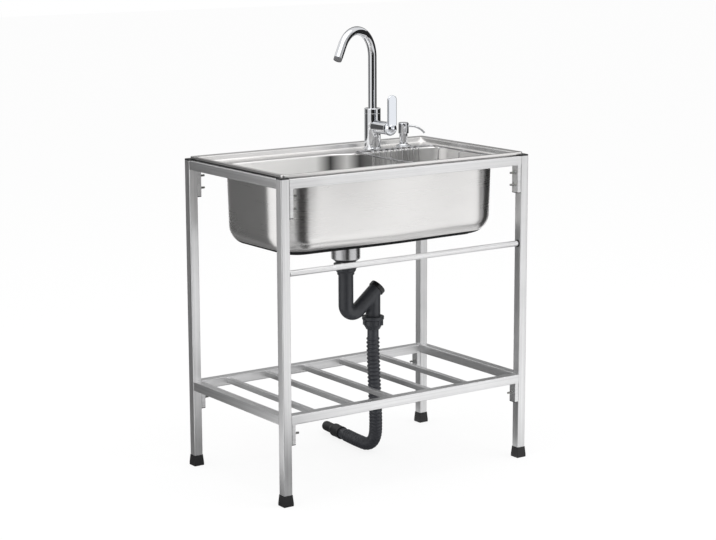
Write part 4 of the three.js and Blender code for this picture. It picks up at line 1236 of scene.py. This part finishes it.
class SINK_OT_strainer(bpy.types.Operator):
    """Models the strainer: its can with the flange in the bowl, and the perforated cup"""
    bl_idname = "sink.strainer"
    bl_label = "Strainer"

    def execute(self, context):
        low, high = box("strainer_body")
        seat, bottom, outlet, inner, outer = high.z - 0.0016, low.z + 0.022, low.z, 0.0381, 0.0395
        can = turned("strainer_can", [
            (0.056, seat), (0.0555, seat + 0.0007), (0.054, seat + 0.0016),
            (0.046, seat + 0.0016), (inner + 0.004, seat + 0.0012), (inner, seat - 0.004),
            (inner, bottom + 0.009), (inner - 0.011, bottom + 0.0014), (0.0186, bottom + 0.0014),
            (0.0186, outlet), (0.020, outlet), (0.020, bottom), (0.0285, bottom),
            (outer, bottom + 0.009), (outer, bottom + 0.0400), (0.0398, bottom + 0.0415),
            (outer, bottom + 0.0430), (outer, seat)], at=DRAIN, segments=96, soft=0.0012)
        settle(can, "stand", "strainer_steel", ["strainer_body"])

        low, high = box("strainer_basket")
        floor, rim = low.z, low.z + 0.026 + 0.0003
        cup = turned("strainer_cup", [
            (0.0, floor + 0.0012), (0.0, floor), (0.030, floor), (0.035, floor + 0.005),
            (0.035, rim), (0.0464, rim), (0.0454, rim + 0.0014), (0.0338, rim + 0.0014),
            (0.0338, floor + 0.0055), (0.0295, floor + 0.0012), (0.0, floor + 0.0012)],
            at=DRAIN, segments=72, soft=0.0008)
        holes = []
        for ring, count in ((0.009, 8), (0.0155, 14), (0.022, 20), (0.0275, 26)):
            for k in range(count):
                a = 2 * math.pi * (k + 0.5 * (count // 2 % 2)) / count
                holes.append(turned("hole", [
                    (0.0, floor - 0.001), (0.0013, floor - 0.001), (0.0013, floor + 0.003),
                    (0.0, floor + 0.003)],
                    at=(DRAIN.x + ring * math.cos(a), DRAIN.y + ring * math.sin(a), 0.0),
                    segments=10, soft=0.0))
        combine(cup, joined("holes", holes))
        knob = turned("knob", [
            (0.0, floor + 0.0012), (0.0045, floor + 0.0012), (0.003, floor + 0.0032),
            (0.003, floor + 0.019), (0.008, floor + 0.022), (0.0085, floor + 0.024),
            (0.007, floor + 0.028), (0.0, high.z)], at=DRAIN, segments=48, soft=0.0012)
        settle(joined("strainer_cup", [cup, knob]), "strainer", "strainer_steel",
               ["strainer_basket"])
        return {"FINISHED"}


class SINK_OT_trap(bpy.types.Operator):
    """Models the trap: the bent pipe, its two nuts and the screw cap of the cleaning branch"""
    bl_idname = "sink.trap"
    bl_label = "Trap"

    def execute(self, context):
        radius, wall, bend, bend_top, branch = 0.0205, 0.0022, 0.024, 0.454, 0.140
        rise = math.radians(40.0)
        low, high = box("trap")
        turn_z = bend_top - bend * math.tan((math.pi / 2 + rise) / 2)
        outlet = Vector((0.090, 0, 0))

        def at(height, start=Vector((0, 0, 0))):
            return DRAIN + start + Vector((0, 0, height))

        def straight(name, start, end, step, size, sides):
            return bar_along(name, spaced([start, end], step), size, sides)

        raised = DRAIN + Vector((branch * math.cos(rise), 0.0, turn_z + branch * math.sin(rise)))
        line = rounded_line([at(high.z), at(turn_z), raised], bend, 24)
        pipe = bar_along("bend", spaced(line, 0.006), radius, 48)
        down = straight("down", at(low.z, outlet), at(turn_z + outlet.x * math.tan(rise), outlet),
                        0.006, radius, 48)
        combine(pipe, down, "UNION")

        # One moulding: the skin is made again at an even spacing, and its inner angles are eased.
        choose(pipe)
        pipe.data.remesh_voxel_size = 0.0011
        bpy.ops.object.voxel_remesh()
        apply(pipe, "SMOOTH", factor=0.5, iterations=10)
        for tool in [straight("bore", start, end, 0.01, radius - wall, 32) for start, end in (
                (at(high.z + 0.002), at(high.z - 0.040)),
                (at(low.z - 0.002, outlet), at(low.z + 0.030, outlet)))]:
            combine(pipe, tool)
        settle(pipe, "stand", "black_pipe", ["trap"], 45.0, weighted=False)

        # Nut between the strainer and the trap: a wide ribbed collar over a narrower sleeve.
        low, high = box("inlet_nut")
        z, bore = high.z, 0.0208
        nut = turned("trap_inlet_nut", [
            (bore, z), (0.0318, z), (0.033, z - 0.0010), (0.033, z - 0.0055), (0.0312, z - 0.0065),
            (0.0305, z - 0.0075), (0.0300, z - 0.0135), (0.0282, z - 0.0150),
            (0.0278, z - 0.0195), (0.0240, z - 0.0245), (0.0235, z - 0.0260),
            (0.0235, low.z + 0.0005), (0.0230, low.z), (bore, low.z)],
            at=DRAIN, segments=144, soft=0.0007, grip=ribs(24, 0.022, z - 0.0139, z - 0.0070))
        settle(nut, "stand", "black_pipe", ["inlet_nut"])

        # Screw cap, over the raised end of the pipe.
        end = branch + 0.0025
        cap = turned("cleaning_cap", [
            (0.0, end - 0.005), (0.0175, end - 0.005), (0.0175, end - 0.0022),
            (0.0208, end - 0.0022), (0.0208, end - 0.013), (0.0222, end - 0.013),
            (0.0228, end - 0.0125), (0.0229, end - 0.002), (0.0222, end - 0.0004),
            (0.0205, end), (0.0195, end), (0.0188, end - 0.0009), (0.0, end - 0.0009)],
            place=Matrix.Translation(at(turn_z)) @ Matrix.Rotation(math.pi / 2 - rise, 4, "Y"),
            segments=144, soft=0.0005, grip=ribs(36, 0.016, end - 0.0118, end - 0.003))
        settle(cap, "stand", "cap_black", ["cleanout_cap"])

        # Nut that holds the hose: flange, ribbed body and a taper down to the hose.
        low, high = box("outlet_nut")
        z = high.z
        nut = turned("trap_outlet_nut", [
            (bore, z), (0.0292, z), (0.0305, z - 0.0012), (0.0305, z - 0.0085),
            (0.0292, z - 0.0102), (0.0270, z - 0.0112), (0.0262, z - 0.0125),
            (0.0262, z - 0.0245), (0.0240, z - 0.0275), (0.0195, low.z + 0.0015),
            (0.0190, low.z), (0.0134, low.z), (0.0134, 0.3885), (bore, 0.3915)],
            at=DRAIN + outlet, segments=96, soft=0.0008)
        lugs = []
        for k in range(8):
            lug = block("lug", (0.0255, -0.0017, z - 0.0262), (0.0284, 0.0017, z - 0.0100))
            edit(lug)
            bevel(lambda edge: all(v.co.x > 0.028 for v in edge.verts), 0.0010, 3)
            leave()
            lug.data.transform(Matrix.Translation(DRAIN + outlet)
                               @ Matrix.Rotation(2 * math.pi * k / 8, 4, "Z"))
            lugs.append(lug)
        settle(joined("trap_outlet_nut", [nut, *lugs]), "stand", "black_pipe", ["outlet_nut"])
        return {"FINISHED"}


# ---------------------------------------------------------------- tap

SPOUT_TURN, SPOUT_BEND, SPOUT_RADIUS = math.radians(20.0), math.radians(148.5), 0.0775
SPOUT_FOOT, SPOUT_STRAIGHT, SPOUT_MOUTH = 0.1003, 0.2585, 0.039
VALVE_TURN, VALVE_HEIGHT = math.radians(-90.0), 0.065
BALL_CENTRE, BALL_RADIUS = 0.082, 0.017


def valve_place():
    """Lays a shape turned about Z along the valve, which points straight to the front."""
    return (Matrix.Translation((TAP.x, TAP.y, DECK + VALVE_HEIGHT))
            @ Matrix.Rotation(VALVE_TURN, 4, "Z") @ Matrix.Rotation(math.pi / 2, 4, "Y"))


def ball_arc(radius, start, steps):
    """The part of a ball's profile beyond a height, from its rim to its pole."""
    first = math.acos((start - BALL_CENTRE) / radius)
    arc = [(radius * math.sin(first * (1 - i / steps)),
            BALL_CENTRE + radius * math.cos(first * (1 - i / steps))) for i in range(steps)]
    return [*arc, (0.0, BALL_CENTRE + radius)]


def spout_line():
    """The middle of the spout's tube, and the way its mouth looks."""
    out = Vector((-math.cos(SPOUT_TURN), -math.sin(SPOUT_TURN), 0.0))
    steps = 48

    def at(reach, up):
        return Vector((TAP.x, TAP.y, DECK)) + out * reach + Vector((0, 0, up))

    line = [at(0.0, SPOUT_FOOT + (SPOUT_STRAIGHT - SPOUT_FOOT) * k / 6) for k in range(6)]
    for i in range(steps + 1):
        a = SPOUT_BEND * i / steps
        line.append(at(SPOUT_RADIUS * (1 - math.cos(a)),
                       SPOUT_STRAIGHT + SPOUT_RADIUS * math.sin(a)))
    way = (out * math.sin(SPOUT_BEND) + Vector((0, 0, math.cos(SPOUT_BEND)))).normalized()
    end = line[-1]
    return line + [end + way * SPOUT_MOUTH * k / 4 for k in range(1, 5)], way


class SINK_OT_tap(bpy.types.Operator):
    """Models the tap's column with its valve housing, and the nut under the deck"""
    bl_idname = "sink.tap"
    bl_label = "Tap body"

    def execute(self, context):
        sizes = unit().tap
        radius, top, shank = sizes.radius, sizes.height, DECK - box("tap_body")[0].z
        body = turned("column", [
            (0.0, -shank), (0.0155, -shank), (0.016, -shank + 0.0006), (0.016, 0.0),
            (sizes.base_radius, 0.0), (sizes.base_radius, 0.0036), (radius + 0.0007, 0.0054),
            (radius, 0.0064), (radius, top - 0.0150), (radius - 0.0005, top - 0.0146),
            (radius - 0.0005, top - 0.0140), (radius, top - 0.0136),
            (radius, top - 0.0018), (radius - 0.0018, top), (0.0138, top),
            (0.0134, top - 0.0005), (0.0123, top - 0.0005), (0.0123, top - 0.0157),
            (0.0, top - 0.0157)], at=(TAP.x, TAP.y, DECK), segments=96)
        housing = turned("housing", [
            (0.0, 0.0), (0.018, 0.0), (0.018, 0.0772), (0.0172, 0.0780), (0.0143, 0.0780),
            (0.0143, 0.0632), (0.0, 0.0632)], place=valve_place(), segments=80)
        combine(body, housing, "UNION")
        settle(body, "stand", "tap_chrome", ["tap_body"], 30.0)

        low, high = box("tap_nut")
        nut = turned("tap_clamp_nut", [
            (0.0163, low.z), (0.0245, low.z), (0.026, low.z + 0.0010), (0.026, high.z - 0.0010),
            (0.0245, high.z), (0.0163, high.z)], at=(TAP.x, TAP.y, 0.0), segments=72, soft=0.0004,
            grip=flats(6, beyond=0.018))
        settle(nut, "stand", "zinc_steel", ["tap_nut"])
        return {"FINISHED"}


class SINK_OT_spout(bpy.types.Operator):
    """Models the swan-neck spout and the aerator in its mouth"""
    bl_idname = "sink.spout"
    bl_label = "Spout"

    def execute(self, context):
        radius = unit().tap.spout_radius
        line, way = spout_line()
        spout = tube_along("swan_neck_spout", line, radius, radius - 0.0016, 56)
        settle(spout, "spout", "tap_chrome", ["spout"])
        ring = turned("aerator_ring", [
            (0.0, 0.0012), (0.009, 0.0012), (0.009, 0.0003), (0.0113, 0.0003), (0.0116, 0.0010),
            (0.0116, 0.0062), (0.0108, 0.0070), (0.0096, 0.0070), (0.0090, 0.0060),
            (0.0, 0.0056)], place=lined_up(line[-1], way), segments=64, soft=0.0003)

        def in_mouth(face):
            away = face.calc_center_median() - line[-1]
            rise = away.dot(way)
            return (abs(face.normal.dot(way)) > 0.97 and rise > 0.005
                    and (away - way * rise).length < 0.0088)

        edit(ring)
        pick("FACE", in_mouth)
        bpy.ops.mesh.inset(thickness=0.00012, use_individual=True)
        leave()
        settle(ring, "spout", "aerator_black", ["aerator"])
        return {"FINISHED"}


class SINK_OT_lever(bpy.types.Operator):
    """Models the valve's core with its ball, and the lever that stands up over it"""
    bl_idname = "sink.lever"
    bl_label = "Core and lever"

    def paddle(self):
        """A plate with round edges and a round top, in the valve's frame: there -X is up, Y is
        across, and Z points away from the column."""
        half, tall, thick, foot = unit().tap.lever_width / 2, 0.094, 0.007, 0.004
        deselect()
        bpy.ops.mesh.primitive_plane_add(size=1.0)
        paddle = named("paddle")
        edit(paddle)
        mesh = bmesh.from_edit_mesh(paddle.data)
        mesh.verts.ensure_lookup_table()
        for vertex, (up, across) in zip(mesh.verts, ((foot, -half), (tall, -half), (foot, half),
                                                     (tall, half))):
            vertex.co = Vector((-up, across, BALL_CENTRE + 0.008))
        bmesh.update_edit_mesh(paddle.data)
        bevel(lambda vertex: vertex.co.x < -tall + NEAR, 0.0138, 12, "VERT")
        bevel(lambda vertex: vertex.co.x > -foot - 0.001, 0.008, 8, "VERT")
        bpy.ops.mesh.select_all(action="SELECT")
        extrude(thick)
        face_outward()
        bevel(lambda edge: edge.calc_face_angle(0.0) > 1.2, 0.0028, 6)
        leave()
        paddle.data.transform(valve_place())
        return paddle

    def execute(self, context):
        place = valve_place()
        neck = 0.0783
        core = turned("valve_core", [
            (0.0, 0.0633), (0.0135, 0.0633), (0.014, 0.0638), (0.014, neck),
            *ball_arc(BALL_RADIUS, neck, 24)], place=place, segments=72, soft=0.0)
        settle(core, "mixer_core", "core_chrome", ["cartridge_core"])

        # The lever is a shell round the ball, and the paddle, with the ball's room cut out of it.
        inner, outer, rim = BALL_RADIUS + 0.0006, BALL_RADIUS + 0.003, BALL_CENTRE + 0.0035
        hood = turned("hood", [*ball_arc(inner, rim, 22)[::-1], *ball_arc(outer, rim, 22)],
                      place=place, segments=72, soft=0.0)
        lever = self.paddle()
        combine(lever, turned("cavity", ball_arc(inner, BALL_CENTRE - inner * 0.999, 40),
                              place=place, segments=64, soft=0.0))
        combine(lever, hood, "UNION")
        lever.name = lever.data.name = "mixer_handle"
        settle(lever, "mixer_lever", "lever_chrome", ["lever"], 32.0)
        return {"FINISHED"}


# ---------------------------------------------------------------- soap dispenser

class SINK_OT_dispenser(bpy.types.Operator):
    """Models the soap dispenser: collar, stem, pressing head with its nozzle, nut and bottle"""
    bl_idname = "sink.dispenser"
    bl_label = "Soap dispenser"

    def head(self, at):
        """The pressing head: a shell closed at the top, and the nozzle that bends down from it."""
        bottom, top, ceiling, bore, radius = 0.037, 0.068, 0.0645, 0.0131, 0.015
        shell = turned("shell", [
            (bore, bottom), (radius - 0.0005, bottom), (radius, bottom + 0.0006),
            (radius, top - 0.0040), (radius - 0.0010, top - 0.0012), (radius - 0.0030, top),
            (0.0, top), (0.0, ceiling), (bore, ceiling), (bore, bottom)], at=at, segments=80)
        turn, steps, sides = math.radians(-38.0), 32, 24
        start, rise, fall, tip = (
            at + Vector((reach * math.cos(turn), reach * math.sin(turn), up)) for reach, up in (
                (bore + 0.0008, 0.058), (0.033, 0.058), (0.048, 0.053), (0.060, 0.038)))
        line, sizes = [], []
        for k in range(steps + 1):
            t = k / steps
            line.append(start * (1 - t) ** 3 + rise * 3 * t * (1 - t) ** 2
                        + fall * 3 * t ** 2 * (1 - t) + tip * t ** 3)
            sizes.append(0.0036 - 0.0006 * t)
        bore_rings = rings_along(line[-5:], [size - 0.0011 for size in sizes[-5:]], sides)
        nozzle = skin("nozzle", [[line[0]] * sides, *rings_along(line, sizes, sides),
                                 *bore_rings[::-1], [line[-5]] * sides])
        return joined("pump_pressing_head", [shell, nozzle])

    def execute(self, context):
        at = Vector((SOAP.x, SOAP.y, DECK))
        collar = turned("dispenser_neck", [
            (0.0043, -0.040), (0.0120, -0.040), (0.0125, -0.0395), (0.0125, 0.0), (0.023, 0.0),
            (0.023, 0.0022), (0.0215, 0.0035), (0.0150, 0.0050), (0.0126, 0.0075),
            (0.0116, 0.0110), (0.0116, 0.0440), (0.0110, 0.0450), (0.0043, 0.0450)],
            at=at, segments=80, soft=0.0010)
        settle(collar, "stand", "tap_chrome", ["dispenser_collar"])

        low, high = (corner.z - DECK for corner in box("pump_stem"))
        stem = turned("pump_tube", [
            (0.0, low), (0.0036, low), (0.004, low + 0.0005), (0.004, high - 0.0005),
            (0.0036, high), (0.0, high)], at=at, segments=32, soft=0.0)
        settle(stem, "pump_stem", "white_plastic", ["pump_stem"])
        settle(self.head(at), "pump_head", "tap_chrome", ["pump_head"])

        at.z = 0.0
        low, high = (corner.z for corner in box("dispenser_nut"))
        nut = turned("dispenser_clamp_nut", [
            (0.0128, low), (0.0200, low), (0.0210, low + 0.001), (0.0210, high - 0.001),
            (0.0200, high), (0.0128, high)], at=at, segments=96, soft=0.0004, grip=flats(8))
        settle(nut, "stand", "foot_black", ["dispenser_nut"])

        base, mouth = (corner.z for corner in box("soap_bottle"))
        neck = mouth - 0.022
        bottle = turned("bottle", [
            (0.0128, mouth), (0.0165, mouth), (0.017, mouth - 0.0006), (0.017, mouth - 0.0090),
            (0.0163, mouth - 0.0100), (0.0163, neck + 0.0010), (0.0185, neck - 0.0020),
            (0.0265, neck - 0.0085), (0.0306, neck - 0.0140), (0.031, neck - 0.0170),
            (0.031, base + 0.0050), (0.0296, base + 0.0012), (0.0270, base), (0.0200, base),
            (0.0160, base + 0.0022), (0.0, base + 0.0030), (0.0, base + 0.0046),
            (0.0190, base + 0.0040), (0.0280, base + 0.0040), (0.0292, base + 0.0060),
            (0.0292, neck - 0.0170), (0.0250, neck - 0.0105), (0.0145, neck - 0.0010),
            (0.0128, neck), (0.0128, mouth)], at=at, segments=72, soft=0.0012)
        settle(bottle, "stand", "white_plastic", ["soap_bottle"])
        return {"FINISHED"}


# ---------------------------------------------------------------- draining basket

class SINK_OT_draining_basket(bpy.types.Operator):
    """Bends and welds the wires of the draining basket"""
    bl_idname = "sink.draining_basket"
    bl_label = "Draining basket"

    def wire(self, name, points, radius, sides, cyclic=False):
        """One wire: a round bevel along a curve, made a mesh."""
        curve = bpy.data.curves.new(name, "CURVE")
        curve.dimensions = "3D"
        curve.bevel_depth = radius
        curve.bevel_resolution = sides
        curve.use_fill_caps = not cyclic
        spline = curve.splines.new("POLY")
        spline.points.add(len(points) - 1)
        for target, point in zip(spline.points, points):
            target.co = (*point, 1.0)
        spline.use_cyclic_u = cyclic
        wire = bpy.data.objects.new(name, curve)
        bpy.context.scene.collection.objects.link(wire)
        choose(wire)
        bpy.ops.object.convert(target="MESH")
        return bpy.context.object

    def execute(self, context):
        low, high = box("wire_basket")
        thick, thin, ledge, slope, corner = 0.0025, 0.0019, 0.022, 0.004, 0.026
        left, right = low.x + thick, high.x - thick
        front, back = low.y + thick, high.y - thick
        rim_z, bottom_z = high.z - thick, low.z + thin
        rim = []
        for x, y, start in ((left, front, math.pi), (right, front, -math.pi / 2),
                            (right, back, 0.0), (left, back, math.pi / 2)):
            cx = x + (corner if x == left else -corner)
            cy = y + (corner if y == front else -corner)
            for i in range(13):
                a = start + i / 12 * math.pi / 2
                rim.append(Vector((cx + corner * math.cos(a), cy + corner * math.sin(a), rim_z)))
        wires = [self.wire("rim", rim, thick, 4, cyclic=True)]

        def sag(start, end):
            """A wire's places and heights from one side of the rim down and up to the other."""
            inset = ledge + slope
            return ((start, rim_z), (start + ledge, rim_z), (start + inset, bottom_z),
                    (end - inset, bottom_z), (end - ledge, rim_z), (end, rim_z))

        for i in range(9):
            margin = ledge + 0.036
            x = left + margin + i / 8 * (right - left - 2 * margin)
            line = rounded_line([(x, y, z) for y, z in sag(front, back)], 0.007, 8)
            wires.append(self.wire("cross", line, thin, 3))
        for i in range(3):
            margin = ledge + 0.045
            y = front + margin + i / 2 * (back - front - 2 * margin)
            line = rounded_line([(x, y, z) for x, z in sag(left, right)], 0.007, 8)
            wires.append(self.wire("long", line, thin, 3))
        basket = joined("basket_of_wire", wires)
        edit(basket)
        face_outward()
        leave()
        settle(basket, "draining_basket", "basket_wire", ["wire_basket"], 60.0, weighted=False)
        return {"FINISHED"}


# ---------------------------------------------------------------- panel and registration

STEPS = (SINK_OT_camera, SINK_OT_drain_hose, SINK_OT_legs, SINK_OT_rails, SINK_OT_shelf,
         SINK_OT_bolts, SINK_OT_sink, SINK_OT_strainer, SINK_OT_trap, SINK_OT_tap, SINK_OT_spout,
         SINK_OT_lever, SINK_OT_dispenser, SINK_OT_draining_basket, SINK_OT_stage)


class SINK_PT_panel(bpy.types.Panel):
    """Lists the pieces of the sink unit and what can be changed on them"""
    bl_idname = "SINK_PT_panel"
    bl_label = "Sink unit"
    bl_space_type = "VIEW_3D"
    bl_region_type = "UI"
    bl_category = "Sink unit"

    def draw(self, context):
        sizes = context.scene.sink_unit
        for group in (sizes.stand, sizes.sink, sizes.tap, sizes.colours):
            column = self.layout.column(align=True)
            for name in group.__annotations__:
                column.prop(group, name)
        for step in STEPS:
            self.layout.operator(step.bl_idname)


CLASSES = (StandSizes, SinkSizes, TapSizes, Colours, SinkUnit, *STEPS, SINK_PT_panel)


def register():
    for kind in CLASSES:
        bpy.utils.register_class(kind)
    bpy.types.Scene.sink_unit = bpy.props.PointerProperty(
        type=SinkUnit, name="Sink unit", description="Sizes and colours of the sink unit")


def unregister():
    del bpy.types.Scene.sink_unit
    for kind in reversed(CLASSES):
        bpy.utils.unregister_class(kind)


def main():
    register()
    for step in STEPS:
        area, name = step.bl_idname.split(".")
        getattr(getattr(bpy.ops, area), name)()


if __name__ == "__main__":
    main()
